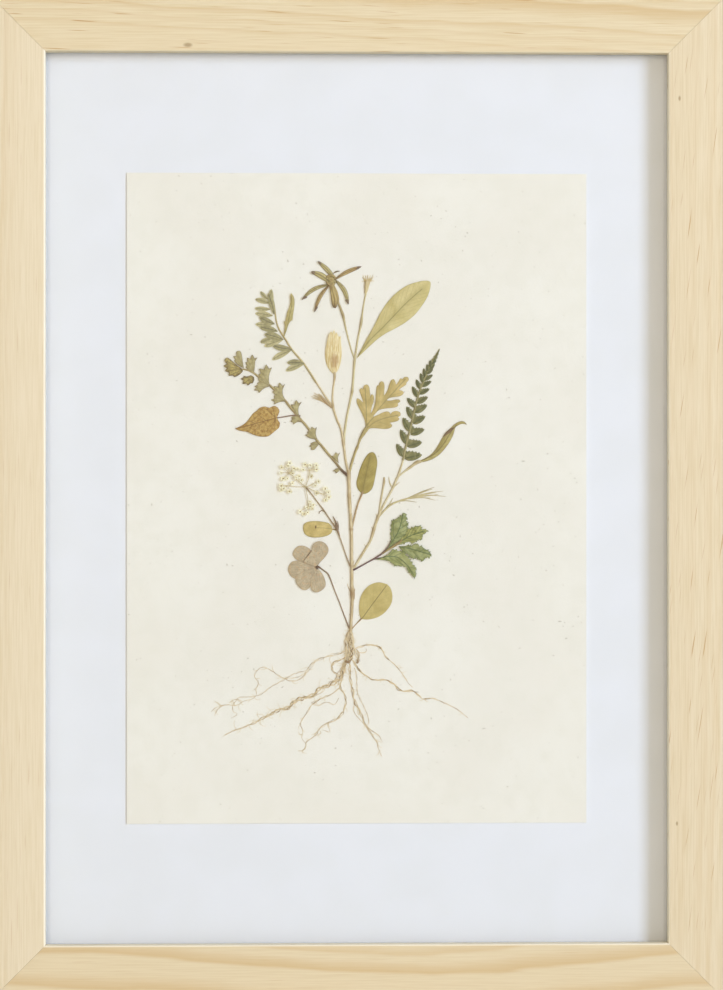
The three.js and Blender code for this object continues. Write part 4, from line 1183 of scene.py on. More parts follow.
vetch_rachis = [[
    (-15.7, 112.8, 0.95), (-21.2, 121.3, 0.9), (-26.7, 127.8, 0.85), (-30.1, 133.1, 0.8),
    (-32.5, 136.9, 0.75), (-33.8, 140.4, 0.7), (-34.3, 144, 0.65), (-34.9, 148.4, 0.5),
]]
vetch_parts.append(stalks("vetch_rachis", vetch_rachis, vetch_stalk, wander=0.1))
one_piece("vetch_leaf", vetch_parts)


# Small curved leaf
# One narrow simple leaf beside the vetch, with two tiny teeth low on its sides.
small_skin = leaf_finish(
    "small_leaf", (211, 196, 136), (189, 172, 110), (150, 138, 84), (170, 154, 96), mottle=0.35, net=0.15,
)
small_outline = smooth_line([
    (-30.7, 132.9, 1), (-29.3, 136.4), (-28.3, 139.4), (-27, 141.2), (-26.6, 140.9, 1), (-26.3, 143.6),
    (-25.8, 147), (-25.6, 149.8), (-26, 152), (-27.2, 153.8, 1), (-27.6, 152.2), (-27.5, 149.8),
    (-28, 147.4), (-29, 144.8), (-29.6, 142), (-29.9, 140.7), (-30.6, 141, 1), (-30.1, 138.6), (-30.4, 136),
], True)
small_rib = smooth_line([(-30.3, 134), (-28.9, 138.5), (-27.9, 143.5), (-26.9, 148), (-27, 152)])
one_piece("small_curved_leaf", [pressed_sheet(
    "small_curved_leaf", small_outline, small_skin, [small_rib], pairs=(6, 0.55), rest=0.4, thick=0.15,
    crown=0.25, wave=0.3, grid=0.45,
)])


# Lance leaf
# The largest leaf, a smooth lance shape on a tapering base, thin and pale yellow-green. Its midrib
# is a fine darker line that fades out before the tip, where the blade is a little translucent.
lance_skin = leaf_finish(
    "lance_leaf", (233, 218, 158), (211, 195, 128), (158, 146, 86), (176, 164, 100), mottle=0.1, rim_mm=0.4,
    rim_share=0.5, net=0.2, vein=0.25, rib_mm=0.18, spot=(180, 166, 106), spot_share=0.2, band_mm=2.6,
)
lance_outline = smooth_line([
    (2.6, 123.7, 1), (5.6, 129.6), (9.4, 136.5), (11.6, 140.6), (13.2, 143.9), (15.6, 147.9), (19, 152),
    (22.6, 155.2), (26.4, 157.5), (31, 159), (34.6, 159.5), (36.4, 158.9), (36.5, 156.6), (35.6, 153.4),
    (33.8, 149.8), (29.8, 144.4), (26.4, 141.4), (23.5, 139.4), (19.6, 137.2), (16.2, 135.4), (12.4, 132.8),
    (8.4, 129.2), (5.2, 126.2),
], True)
lance_rib = smooth_line([
    (3.6, 125.2), (9, 132.4), (14.5, 137.8), (20, 143.6), (25.4, 149.2), (29.6, 153), (32.6, 155.6),
])
one_piece("lance_leaf", [pressed_sheet(
    "lance_leaf", lance_outline, lance_skin, [lance_rib], pairs=(11, 0.7, 0.8, 0.35), rest=0.2, crown=0.45,
    wave=0.5, grid=0.6,
)])


# Burnet leaf
# A pinnate leaf with small fan-shaped leaflets cut into rounded teeth. It dried grey-olive, brown
# along the teeth, and its stalk is dark where it meets the stem.
lobe_notch = 0.14
burnet_skin = leaf_finish(
    "burnet_leaflet", (204, 191, 140), (180, 166, 114), (132, 120, 86), (124, 104, 74), mottle=0.6,
    patchy=1.3,
    rim_mm=0.45, rim_share=0.7, net=0.3, spot=(128, 112, 82), spot_share=0.7, vein=0.45,
)
burnet_tip_skin = leaf_finish(
    "burnet_tip_leaflet", (206, 188, 118), (172, 154, 96), (118, 100, 60), (102, 80, 54), mottle=0.6,
    patchy=1.4, rim_mm=0.8, rim_share=0.8, net=0.3, spot=(118, 92, 54), spot_share=0.6, vein=0.8,
)
burnet_fans = [
    (1, 2, [(-49.1, 118.8), (-52.4, 121.2), (-54.8, 123.3), (-56.4, 124.2), (-57.6, 123, 1),
        (-57.9, 120.4, 1), (-57.3, 118.2, 1), (-55.6, 115.9, 1),
        (-53.2, 115.3, 1), (-51, 116.2), (-49.4, 117.7)]),
    (0, 1, [(-48.7, 119.3), (-49.3, 122.8), (-49.8, 126), (-50.6, 127.3), (-52.1, 126.9, 1),
        (-53.5, 124.8, 1), (-53.2, 122.8, 1), (-51.5, 120.9)]),
    (0, 1, [(-44.2, 117), (-43.7, 120.1), (-43.5, 122.6), (-42.6, 124.3, 1), (-44.9, 125.5, 1),
        (-47.2, 124.1, 1), (-48, 122.1, 1), (-47.9, 119.9, 1), (-46.4, 118.3)]),
    (1, 1, [(-44.1, 115.4), (-45.5, 116.1), (-47.3, 115.6), (-48.9, 115.9, 1), (-50.1, 114.6, 1),
        (-49.3, 112.2, 1), (-46.9, 111.5, 1), (-44.8, 112.5, 1), (-44, 114.1)]),
    (0, 2, [(-36.6, 111.1), (-37.3, 113.3), (-37.1, 116.5), (-36, 119.7, 1), (-38.5, 121, 1),
        (-41.6, 119.1, 1), (-42.1, 116.6, 1), (-42.2, 115, 1), (-41.7, 113.3)]),
    (0, 1, [(-37.1, 111.1), (-39.7, 110), (-41.9, 108.1, 1), (-44.1, 109.4, 1), (-43.8, 111.1, 1),
        (-42.6, 112.7, 1), (-40, 113.3)]),
    (0, 2, [(-29.5, 104.3), (-30.9, 107.3), (-31, 109.7), (-30, 112.1, 1), (-32.5, 112.8, 1),
        (-35, 111.1, 1), (-35.7, 108.7, 1), (-35, 106.6, 1), (-36.3, 104.9, 1),
        (-35, 102.9, 1), (-32.4, 103.9)]),
    (0, 2, [(-23.1, 96.6), (-23.9, 99.7), (-23.6, 101.9), (-22.4, 104, 1), (-24.9, 104.8, 1),
        (-27.3, 102.8, 1), (-26.7, 100.7, 1), (-25, 98.4)]),
    (0, 1, [(-22.2, 94.7), (-24.3, 94.8), (-26.2, 93.7, 1), (-27.5, 95.2, 1), (-27, 97, 1), (-25.3, 97.6),
        (-23.5, 96.8)]),
    (0, 2, [(-14.9, 86.3), (-15.8, 88.7), (-15.9, 90.3), (-15.5, 92.5, 1), (-17.7, 92.6, 1),
        (-19.8, 92.1, 1), (-19.8, 90.4, 1), (-20.8, 89, 1), (-18.8, 87.5), (-16.7, 87)]),
    (0, 1, [(-14.2, 85), (-15.1, 85.8), (-16.7, 85.8), (-18.3, 85, 1), (-19, 83.8, 1), (-18.2, 82.3, 1),
        (-16.7, 82.1), (-15.4, 83.5)]),
    (0, 2, [(-5.4, 76), (-5.8, 78.6), (-4.9, 80.8, 1), (-6.8, 81, 1), (-8.8, 79.2, 1), (-7.2, 77.6)]),
    (0, 1, [(-4.4, 73.8), (-6.6, 73.7, 1), (-8.2, 72.5, 1), (-6.8, 71.4, 1), (-5.6, 72.1)]),
]


def fan_outline(points):
    """A leaflet's outline, on from its foot. Between two points marked 1, which end its lobes, the
    edge dips towards the foot."""
    foot = np.array(points[0])
    outline = [(*foot, 1)]
    for here, following in zip(points[1:], [*points[2:], points[0]]):
        outline.append(here[:2])
        if len(here) + len(following) == 6:
            dip = (np.array(here[:2]) + following[:2]) / 2
            outline.append((*(dip + (foot - dip) * lobe_notch), 1))
    return smooth_line(outline, True, 0.25)


def fan_fingers(points):
    """The veins of a fan-shaped leaflet, from its foot to every lobe."""
    foot = np.array(points[0])
    return [
        foot + np.outer((0.1, 0.4, 0.7, 0.88), np.array(end[:2]) - foot) for end in points if len(end) > 2
    ]


burnet_parts = []
for index, (golden, layer, edge) in enumerate(burnet_fans):
    outline = fan_outline(edge)
    burnet_parts.append(pressed_sheet(
        f"burnet_{index + 1}", outline, burnet_tip_skin if golden else burnet_skin,
        veins=within(fan_fingers(edge), outline), rest=0.1 + 0.14 * layer, thick=0.16, wave=0.35,
        relief=0.12,
        grid=0.42,
    ))
burnet_stalk = dried_stalk("burnet_stalk", (196, 178, 124), (160, 138, 92), (92, 62, 48), 0.4)
burnet_rachis = [[
    (-49.2, 119, 0.7), (-46.3, 118.2, 0.8), (-43.9, 117, 0.9), (-41.9, 115.3, 0.9), (-37.2, 111.8, 1),
    (-35.1, 109.9, 1.1), (-29.7, 104.4, 1.1), (-27.7, 101.7, 1.1), (-22.7, 95.9, 1.1), (-19.4, 92, 1.1),
    (-15.4, 86.5, 1.1), (-11.8, 82.2, 1.2), (-8.5, 78.2, 1.1, 0.1), (-5.4, 74.4, 1.1, 0.4),
    (-3.8, 72.5, 1.3, 0.95), (-1.3, 70.4, 1.5, 1),
]]
burnet_parts.append(stalks("burnet_rachis", burnet_rachis, burnet_stalk, wander=0.25))
one_piece("burnet_leaf", burnet_parts)


# Heart leaf
# A small heart-shaped leaf turned orange-brown, mottled and a little puckered, on a dark thin stalk.
heart_skin = leaf_finish(
    "heart_leaf", (212, 180, 106), (180, 140, 74), (128, 92, 52), (150, 110, 58), mottle=0.8, patchy=1,
    rim_mm=0.4, net=0.4, spot=(136, 96, 52), spot_share=0.6, vein=0.6, rib_mm=0.13,
)
heart_outline = smooth_line([
    (-52.9, 91.8, 1), (-50.7, 92.7), (-48.6, 93.9), (-47.2, 95.2), (-45.6, 97.4), (-44.4, 98.9),
    (-42.8, 100), (-41.6, 101.2), (-39.4, 101.9), (-37, 101.4), (-35.2, 102.1), (-33.5, 101.6),
    (-32.5, 99.9), (-32.9, 98.5), (-33.6, 97, 1), (-33, 95.4), (-32.3, 94.4), (-32.8, 92.2), (-34.4, 90.8),
    (-35.8, 89.6), (-37.7, 88.3), (-41.2, 88.2), (-44, 88.9), (-47.2, 90.3), (-50.7, 90.9),
], True)
heart_rib = smooth_line([(-33.9, 96.7), (-38, 95.6), (-43, 94.2), (-48, 92.8), (-51.4, 92)])
heart_veins = [
    *(smooth_line(line) for line in (
        [(-34.2, 96.8), (-36.4, 98.8), (-38.4, 100.8)], [(-34.2, 96.8), (-35, 99), (-35.4, 101)],
        [(-34.2, 96.5), (-36, 93.4), (-38.6, 90.4)], [(-34.2, 96.4), (-34.6, 94), (-34.8, 91.8)],
        [(-38.6, 95.4), (-41, 97.2), (-43, 98.8)], [(-39.4, 95.2), (-42, 92.6), (-44.2, 90.8)],
        [(-43.4, 94.1), (-45.4, 95), (-46.8, 95)], [(-44, 93.8), (-46.2, 92.2), (-48, 91.6)],
    )),
]
heart_stalk = dried_stalk("heart_stalk", (168, 140, 110), (134, 104, 82), (100, 70, 56), 0.4)
heart_petiole = [[
    (-34.2, 96.7, 0.5, 0.4), (-31.6, 97, 0.55, 0.4), (-28, 97.6, 0.6, 0.3), (-25.6, 97.9, 0.6),
    (-22.9, 97.6, 0.7),
]]
one_piece("heart_leaf", [
    pressed_sheet(
        "heart_leaf", heart_outline, heart_skin, [heart_rib], heart_veins, rest=0.1, crown=0.3, wave=0.55,
        grid=0.5, relief=0.1,
    ),
    stalks("heart_petiole", heart_petiole, heart_stalk, rest=0.2),
])


# Oval leaf
# A small blunt oval leaf lying sideways on the umbel stalk, yellow-tan with an olive rim.
oval_skin = leaf_finish(
    "oval_leaf", (228, 204, 134), (204, 180, 110), (154, 138, 80), (164, 150, 86), mottle=0.3, rim_mm=0.7,
    rim_share=0.7, net=0.15, vein=0.12, spot=(176, 150, 90), spot_share=0.4, rib_mm=0.1,
)
oval_outline = smooth_line([
    (-8.3, 45.9), (-9.4, 48.2), (-11.6, 49.1), (-15.8, 49.6), (-19.3, 49.3), (-21.3, 48.2), (-21.7, 45.9),
    (-20.9, 43.7), (-18.7, 42.4), (-15.2, 42.1), (-11.3, 42.7), (-9, 44),
], True)
oval_rib = smooth_line([(-8.7, 46), (-12, 46.4), (-16.4, 46.6)])
oval_stalk = dried_stalk("oval_stalk", (190, 168, 108), (160, 136, 84), (110, 80, 54))
oval_petiole = [(-8.4, 46, 0.5, 0.2), (-7.4, 45.7, 0.6, 0.4), (-6.1, 45.4, 0.6, 0.5)]
oval_scar = [(-15.8, 47.6, 0.5, 1), (-15.9, 46.7, 1.1, 1), (-15.7, 45.9, 0.5, 1)]
one_piece("oval_leaf", [
    pressed_sheet(
        "oval_leaf", oval_outline, oval_skin, [oval_rib], pairs=(6, 0.9), rest=0.1, crown=0.25, wave=0.3,
    ),
    stalks("oval_petiole", [oval_petiole], oval_stalk),
    stalks("oval_scar", [oval_scar], oval_stalk, rest=0.5, flat=0.4),
])


# Lilac flower
# A five-petalled flower faded to taupe-lilac and pressed open, its petals overlapping. They are fine
# as tissue, speckled brown, with a fold across two of them. It hangs from a thin brown stalk.
def faded_petal(name):
    petal = Finish(name, 0.65)
    x, y, z = petal.axes(petal.where_mm())
    flat = petal.vector(x, 0, z)
    grain = petal.noise(flat, 1.6, 4)
    shade = petal.mix(petal.ease(petal.noise(flat, 0.3, 3), 0.38, 0.62), (208, 191, 156), (191, 173, 140))
    for amount, stain in (
        (petal.ease(grain, 0.46, 0.62, 0, 0.5), (172, 154, 124)),
        (petal.ease(petal.noise(flat, 0.7, 3), 0.54, 0.62, 0, 0.42), (216, 176, 128)),
        (petal.ease(petal.noise(flat, 1.3, 2), 0.64, 0.7, 0, 0.7), (136, 110, 86)),
        (petal.ease(petal.attribute("vein"), 0.04, 0.18, 0.25, 0), (140, 124, 108)),
        (petal.ease(petal.attribute("edge"), 0.05, 0.45, 0.5, 0), (168, 144, 116)),
    ):
        shade = petal.mix(amount, shade, stain)
    petal.bump(grain, 0.1, 0.6)
    return petal.colour(shade)


def petal_veins(foot, outline):
    """Five fine veins that fan out from the foot of a petal towards its far edge."""
    long = outline[np.argmax(((outline - foot) ** 2).sum(1))] - foot
    side = np.array((-long[1], long[0]))
    shares = np.array((0.12, 0.3, 0.5, 0.7, 0.88))
    fans = [shares * spread * (1.1 - 0.5 * shares) for spread in (-0.3, -0.14, 0.02, 0.17, 0.32)]
    return [foot + np.outer(shares, long) + np.outer(fan, side) for fan in fans]


lilac_skin = faded_petal("lilac_petal")
lilac_petals = [
    [(-15.2, 28.4, 1), (-16.8, 33.4), (-18.6, 36.8), (-20.3, 37.9), (-22.2, 38.4), (-24.1, 38.1),
        (-25.6, 36.8), (-26.5, 34.8), (-25.8, 33), (-24.1, 31.5),
        (-21.8, 30.4), (-18.4, 29)],
    [(-15.4, 28.2, 1), (-20.2, 30.6), (-24.1, 31.5), (-26.4, 31.2), (-27.9, 29.9), (-28.7, 27.6),
        (-28.1, 25.6), (-27.1, 24.2), (-25.2, 23.3), (-21.6, 24.4), (-18, 26.6)],
    [(-15.4, 28, 1), (-20.6, 27), (-25.4, 24.4), (-25.2, 23), (-24.9, 21.4), (-23.7, 19.6), (-21.8, 18.2),
        (-20.3, 18.1), (-18.8, 19.2), (-17.6, 22), (-16.6, 25)],
    [(-15, 28, 1), (-17.4, 25), (-18.6, 22), (-18.2, 19.4), (-17.7, 18.1), (-16.5, 17.2), (-14.9, 17.1),
        (-12.6, 18.4), (-11.4, 20.4), (-11.9, 23.4), (-13.4, 26.2)],
    [(-15.4, 28.4, 1), (-18.6, 29.6), (-21.9, 30.7, 1), (-19.8, 33.5), (-17.7, 36.3, 1), (-17.4, 38.4),
        (-15.8, 40.1), (-13.8, 40.4), (-11.6, 39.4), (-10.2, 37.2),
        (-10.4, 35.1), (-12, 32.8), (-14.2, 30.4)],
]
lilac_parts = []
for index, points in enumerate(lilac_petals):
    outline = smooth_line(points, True)
    lilac_parts.append(pressed_sheet(
        f"petal_{index + 1}", outline, lilac_skin,
        veins=within(petal_veins(np.array(points[0][:2]), outline), outline), rest=0.06 + 0.15 * index,
        thick=0.1, crown=0.1, wave=0.3, relief=0.06, grid=0.5,
    ))
lilac_stalk = dried_stalk("lilac_stalk", (178, 150, 116), (146, 118, 90), (92, 68, 52), 0.4, 0.6)
calyx_runs = [
    [(-15.9, 28.6, 0.9, 0.9), (-15, 28.7, 1.2, 0.9), (-13.8, 28.3, 0.7, 0.6)],
    [(-15.3, 27.6, 0.4, 0.9), (-15.2, 28.6, 0.6, 1), (-15.2, 29.4, 0.4, 0.9)],
    [(-21.8, 30.8, 0.3, 0.9), (-19.8, 33.4, 0.35, 0.9), (-17.8, 36.2, 0.25, 0.9)],
]
pedicel_run = [
    (-14.2, 28.4, 0.6, 0.7), (-12.2, 27, 0.6, 0.4), (-10.2, 25.2, 0.65, 0.3), (-8.4, 20.8, 0.55, 0.1),
    (-6.9, 16.8, 0.5), (-5.1, 12.4, 0.5), (-2.9, 6.4, 0.5, 0.1), (-0.6, 0.4, 0.7, 0.3),
]
lilac_parts += [
    stalks("lilac_calyx", calyx_runs, lilac_stalk, wander=0.2, rest=0.8),
    stalks("lilac_pedicel", [pedicel_run], lilac_stalk, wander=0.2, rest=0.1),
]
one_piece("lilac_flower", lilac_parts)


# Umbel
# A small umbel of cream florets on hair-thin rays, pressed open to one side of its stalk. Each floret
# has five round petals about a millimetre wide round an olive centre.
umbel_stalk_skin = dried_stalk("umbel_stalk", (196, 172, 132), (166, 138, 102), (100, 72, 56), 0.4, 0.6)
ray_skin = dried_stalk("umbel_ray", (226, 212, 166), (202, 182, 134), (130, 104, 68), 0.3)
umbel_hub = (-20.7, 65.3)
umbel_heads = [
    ((-28, 71.5), [(-31.4, 74.2), (-28.6, 74.7), (-27.8, 76), (-25.9, 73.6), (-24.1, 73.3), (-31.8, 71.6),
        (-29, 69.1), (-30.8, 68.9), (-26.4, 71.4)]),
    ((-24.8, 68.6), [(-26.6, 66.9), (-23.5, 70), (-22.4, 68.3), (-24.9, 69.4)]),
    ((-28.8, 65.8), [(-31.7, 65.7), (-31.8, 63.8), (-27.8, 63.2), (-30.5, 64.4)]),
    ((-18.7, 72.6), [(-21.7, 73), (-20.8, 75.4), (-18.5, 75.1), (-15.7, 75.1), (-15.5, 73.2), (-17.9, 70)]),
    ((-16.9, 66.8), [(-14.6, 67.7), (-16.2, 65.8)]),
    ((-12.6, 61.8), [(-15.4, 62.4), (-11.6, 64.3), (-10.1, 62.8), (-9.9, 60.5), (-11.4, 59.2)]),
    ((-19.4, 56.2), [(-18.6, 58.4), (-17.1, 56.9), (-18.4, 56.2), (-19.9, 55.8), (-17.5, 55.2), (-23, 53.9),
        (-21.1, 52.9), (-19.7, 53.5)]),
]


def floret_tree():
    """Sets one floret on every point, each turned and sized a little differently."""
    tree, given = new_tree("florets", {
        "Points": "Geometry", "Floret": "Object", "Smallest": "Float", "Largest": "Float",
        "Finish": "Material",
    }, "Florets")
    shape = add_node(tree, "GeometryNodeObjectInfo", {"Object": given["Floret"]}, {})["Geometry"]
    turns = {"Min": (-0.35, 0, -0.35), "Max": (0.35, 6.28, 0.35), "Seed": 4}
    turn = add_node(tree, "FunctionNodeRandomValue", turns, {"data_type": "FLOAT_VECTOR"})["Value"]
    sizes = add_node(tree, "FunctionNodeRandomValue", {"Seed": 9}, {"data_type": "FLOAT"})
    limits = [socket for socket in sizes[0].node.inputs if socket.type == "VALUE"]
    tree.links.new(given["Smallest"], limits[0])
    tree.links.new(given["Largest"], limits[1])
    size = next(socket for socket in sizes if socket.type == "VALUE")
    spread = {"Points": given["Points"], "Instance": shape, "Rotation": turn, "Scale": size}
    return end_tree(tree, add_node(tree, "GeometryNodeInstanceOnPoints", spread, {})[0], given["Finish"])


def petal_shell(turn, first):
    """One cupped petal of a floret, turned about its centre: its points and its faces."""
    out = Vector((math.cos(turn), 0, math.sin(turn)))
    across = Vector((-math.sin(turn), 0, math.cos(turn)))
    ring = [
        (0.12, 0, 0), (0.42, 0.3, 0.1), (0.72, 0.36, 0.16), (0.98, 0.16, 0.1), (0.88, 0, 0.02),
        (0.98, -0.16, 0.1), (0.72, -0.36, 0.16), (0.42, -0.3, 0.1),
    ]
    verts = []
    for back, middle_lift in ((0, -0.02), (0.1, 0.12)):
        verts += [out * reach + across * side + Vector((0, back - lift, 0)) for reach, side, lift in ring]
        verts.append(out * 0.6 + Vector((0, middle_lift, 0)))
    faces = []
    for here in range(first, first + 8):
        ahead = first + (here - first + 1) % 8
        faces += [
            (here, ahead, first + 8), (ahead + 9, here + 9, first + 17), (ahead, here, here + 9, ahead + 9),
        ]
    return verts, faces


def floret_shape():
    """A floret in millimetres about its own centre, facing forwards: five cupped petals and a centre.
    The attribute heart is 1 in the centre and 0 on the petals."""
    verts, faces = [], []
    for petal in range(5):
        petal_verts, petal_faces = petal_shell(
            petal * math.tau / 5 + 0.2 * math.sin(petal * 2.1), len(verts),
        )
        verts += petal_verts
        faces += petal_faces
    first = len(verts)
    for level, radius in ((0.16, 0.2), (-0.16, 0.25), (-0.28, 0.14)):
        for index in range(8):
            angle = index * math.tau / 8
            verts.append(Vector((radius * math.cos(angle), level, radius * math.sin(angle))))
    verts += [Vector((0, 0.18, 0)), Vector((0, -0.34, 0))]
    for here in range(first, first + 8):
        ahead = first + (here - first + 1) % 8
        faces += [(ahead, here, here + 8, ahead + 8), (ahead + 8, here + 8, here + 16, ahead + 16)]
        faces += [(here, ahead, first + 24), (ahead + 16, here + 16, first + 25)]
    mesh = new_mesh("floret", [vert * MM for vert in verts], [], faces)
    mark(mesh, "heart", [0] * first + [1] * (len(verts) - first))
    return add_object("floret", mesh)


def floret_finish():
    floret = Finish("umbel_floret", 0.7)
    grain = floret.noise(floret.where_mm(), 1.6, 3)
    shade = floret.mix(floret.ease(grain, 0.4, 0.65), (255, 251, 222), (244, 234, 190))
    floret.bump(grain, 0.08, 0.5)
    return floret.colour(floret.mix(floret.attribute("heart"), shade, (166, 138, 84)))


floret_pattern = floret_shape()
floret_spots = [spot for _, spots in umbel_heads for spot in spots]
floret_points = [laid(right, up, 1.15 + 0.25 * math.sin(right * 7 + up)) for right, up in floret_spots]
florets = settle("florets", new_mesh("floret_points", floret_points, [], []), floret_tree(), {
    "Floret": floret_pattern, "Smallest": 0.95, "Largest": 1.35, "Finish": floret_finish(),
})
bpy.data.objects.remove(floret_pattern)
ray_runs = []
for centre, spots in umbel_heads:
    bend = ((umbel_hub[0] + centre[0]) / 2 + 0.3, (umbel_hub[1] + centre[1]) / 2 - 0.3)
    ray_runs.append([(*umbel_hub, 0.4, 0.3), (*bend, 0.3), (*centre, 0.36, 0.1)])
    for right, up in spots:
        bend = ((centre[0] + right) / 2, (centre[1] + up) / 2 + 0.2)
        ray_runs.append([(*centre, 0.26, 0.1), (*bend, 0.22), (right, up, 0.24)])
umbel_stalk_runs = [
    [(*umbel_hub, 0.6, 0.5), (-18.2, 62.4, 0.5, 0.2), (-15.9, 59.4, 0.5, 0.1), (-11.8, 53.9, 0.6, 0.3),
        (-9, 49.8, 0.55, 0.2), (-6.3, 45.8, 1, 0.6),
        (-5, 42.4, 0.6, 0.1), (-3.7, 38.7, 0.5), (-2.1, 34, 0.5, 0.1), (-0.3, 29, 0.6, 0.3)],
    [(-11.7, 53.8, 0.6, 0.5), (-13, 54.4, 0.4, 0.5), (-14.2, 53.8, 0.35, 0.5), (-14.4, 52.9, 0.25, 0.5)],
    [(-6, 45.2, 1, 0.6), (-6.4, 47.6, 1.1, 0.7), (-7, 49.8, 0.65, 0.6), (-8.1, 51.8, 0.28, 0.6)],
    [(-5.7, 45.6, 0.6, 0.7), (-5.6, 47.8, 0.4, 0.6), (-6, 49.4, 0.22, 0.5)],
]
one_piece("umbel", [
    stalks("umbel_stalk", umbel_stalk_runs, umbel_stalk_skin, rest=0.25, wander=0.2, flat=0.8),
    stalks("umbel_rays", ray_runs, ray_skin, rest=0.6, wander=0.25, flat=0.9, sides=6, step=0.6),
    florets,
])


# Round leaf
# A smooth round leaf low on the stem, even yellow-olive with a straight dark midrib and a pale rim.
round_skin = leaf_finish(
    "round_leaf", (216, 197, 128), (198, 178, 108), (136, 120, 70), (208, 192, 132), mottle=0.2,
    rim_mm=0.35,
    rim_share=0.5, net=0.1, vein=0.1,
)
round_outline = smooth_line([
    (4.7, 4.9), (4, 7.5), (3.9, 11.3), (4.7, 15.2), (6.6, 18.4), (9.2, 20.6), (12.4, 21.6), (14.4, 21.4),
    (16.8, 20.7, 1), (18.2, 19), (19.1, 15.8), (18.8, 12.6), (17.5, 10), (14.9, 7.2), (11.7, 5.4),
    (7.9, 4.6), (5.7, 4.7),
], True)
round_rib = smooth_line([(5.3, 5.2), (9, 10.3), (12.8, 15.4), (16.4, 20.2)])
round_stalk = dried_stalk("round_stalk", (206, 178, 122), (176, 146, 98), (112, 82, 56), 0.35, 0.5)
round_petiole = [
    (5.6, 5.8, 0.4, 0.3), (4.6, 4.7, 0.7, 0.6), (3, 3, 0.45, 0.2), (1.6, 1.5, 0.45), (0.2, -0.2, 0.6, 0.4),
]
one_piece("round_leaf", [
    pressed_sheet(
        "round_leaf", round_outline, round_skin, [round_rib], pairs=(7, 0.8), rest=0.1, crown=0.25,
        wave=0.25,
    ),
    stalks("round_petiole", [round_petiole], round_stalk, rest=0.05),
])


# Serrated leaf
# A compound leaf of four overlapping toothed leaflets, still green with a bluish cast, puckered
# along its side veins. It leaves the main stem on a purple-brown stalk.
tooth_pitch_mm = 1.4
tooth_depth_mm = 1.15
serrated_skins = [leaf_finish(
    f"serrated_leaf_{index + 1}", pale, deep, (96, 108, 64), (98, 112, 60), mottle=0.4, patchy=1.6,
    rim_mm=0.3,
    rim_share=0.8, net=0.4, spot=spot, spot_share=0.6, vein=0.75, rib_mm=0.2,
) for index, (pale, deep, spot) in enumerate((
    ((178, 180, 122), (144, 148, 88), (150, 164, 130)), ((190, 186, 114), (160, 158, 88), (126, 132, 70)),
    ((190, 190, 130), (160, 162, 98), (130, 142, 84)),
))]
serrated_leaflets = [
    ([(15.4, 35.5, 1), (17.7, 38.8), (18.3, 43.3), (18.2, 45.8), (18.6, 49), (19.5, 50.2), (21.1, 51),
        (22.9, 52.1), (24.1, 53.6), (25.4, 52.2), (25.9, 50.7),
        (25.6, 49.7), (26.7, 48.3), (26.1, 47.1), (26.8, 46.1), (25.6, 44), (24.2, 42), (22.3, 40.6),
            (19.6, 38.6), (17.4, 36.9)],
        [(16, 36.1), (19, 40.2), (22, 45.4), (23.9, 52.4)], 4, 0, 0),
    ([(20.8, 38.6, 1), (22.6, 41.3), (24.6, 43.3), (25.8, 45.3), (28.1, 46.8), (30, 47.4), (32, 47.3),
        (32.9, 46.1), (34.1, 46.2), (35.1, 45), (34, 43.6),
        (32.6, 42.8), (32.9, 41.4), (31, 40.8), (29.5, 39.7), (28.1, 39.3), (26.6, 39.9), (24.6, 39.4),
            (22.6, 38.8)],
        [(21.4, 39.2), (25, 41.6), (29, 43.6), (33.8, 45)], 1, 1, 1),
    ([(21.9, 38.1, 1), (25.1, 38.3), (28.1, 38.8), (30, 39.3), (31.2, 38.4), (33, 38.1), (33.7, 37),
        (35.3, 36.6), (36.1, 35.5), (37.2, 34.2), (36.2, 33.1),
        (34.6, 32.5), (33.5, 31.6), (31.8, 31.6), (30, 32.5), (28.3, 32.2), (27, 33.3), (25.1, 34.8),
            (23.1, 36.5)],
        [(22.6, 37.8), (27, 37), (31.4, 35.8), (36.4, 34.3)], 2, 2, 0),
    ([(11.3, 32.1, 1), (15.2, 33.4), (17.7, 35.1), (19.6, 36.7), (21.1, 36.5), (22.6, 36), (24.3, 36),
        (25.2, 34.5), (26.4, 33.4), (27.2, 31.7), (28.4, 30.9),
        (28.4, 29.5), (29.9, 28.5), (29.8, 26.7), (30.1, 24.6), (28.9, 23.5), (27.3, 25.4), (25.8, 27.4),
        (24.6, 28.8), (21.9, 29), (20.1, 29.2), (18.2, 30.6),
        (16.2, 31.6)],
        [(12.6, 32.4), (17, 33.4), (21.4, 33), (25.4, 29.8), (28.8, 25)], 4, 3, 2),
]


def toothed_edge(points, smooth_from):
    """A closed outline cut into irregular teeth, left plain near its first point."""
    line = smooth_line(points, True, 0.22)
    ahead = np.roll(line, -1, axis=0) - np.roll(line, 1, axis=0)
    out = np.stack([ahead[:, 1], -ahead[:, 0]], 1) / np.linalg.norm(ahead, axis=1)[:, None]
    turn = np.sum(line[:, 0] * np.roll(line[:, 1], -1) - np.roll(line[:, 0], -1) * line[:, 1])
    out = out if turn > 0 else -out
    along = np.concatenate([[0], np.cumsum(np.linalg.norm(np.diff(line, axis=0), axis=1))])
    uneven = along / tooth_pitch_mm + 0.35 * np.sin(along * 0.9) + 0.2 * np.sin(along * 2.3 + 1)
    tooth = (uneven % 1) ** 1.3 * (0.75 + 0.25 * np.sin(along * 1.7))
    grow = np.clip((np.minimum(along, along[-1] - along) - smooth_from) / 2.5, 0, 1)
    return line + out * ((tooth - 0.35) * grow * tooth_depth_mm)[:, None]


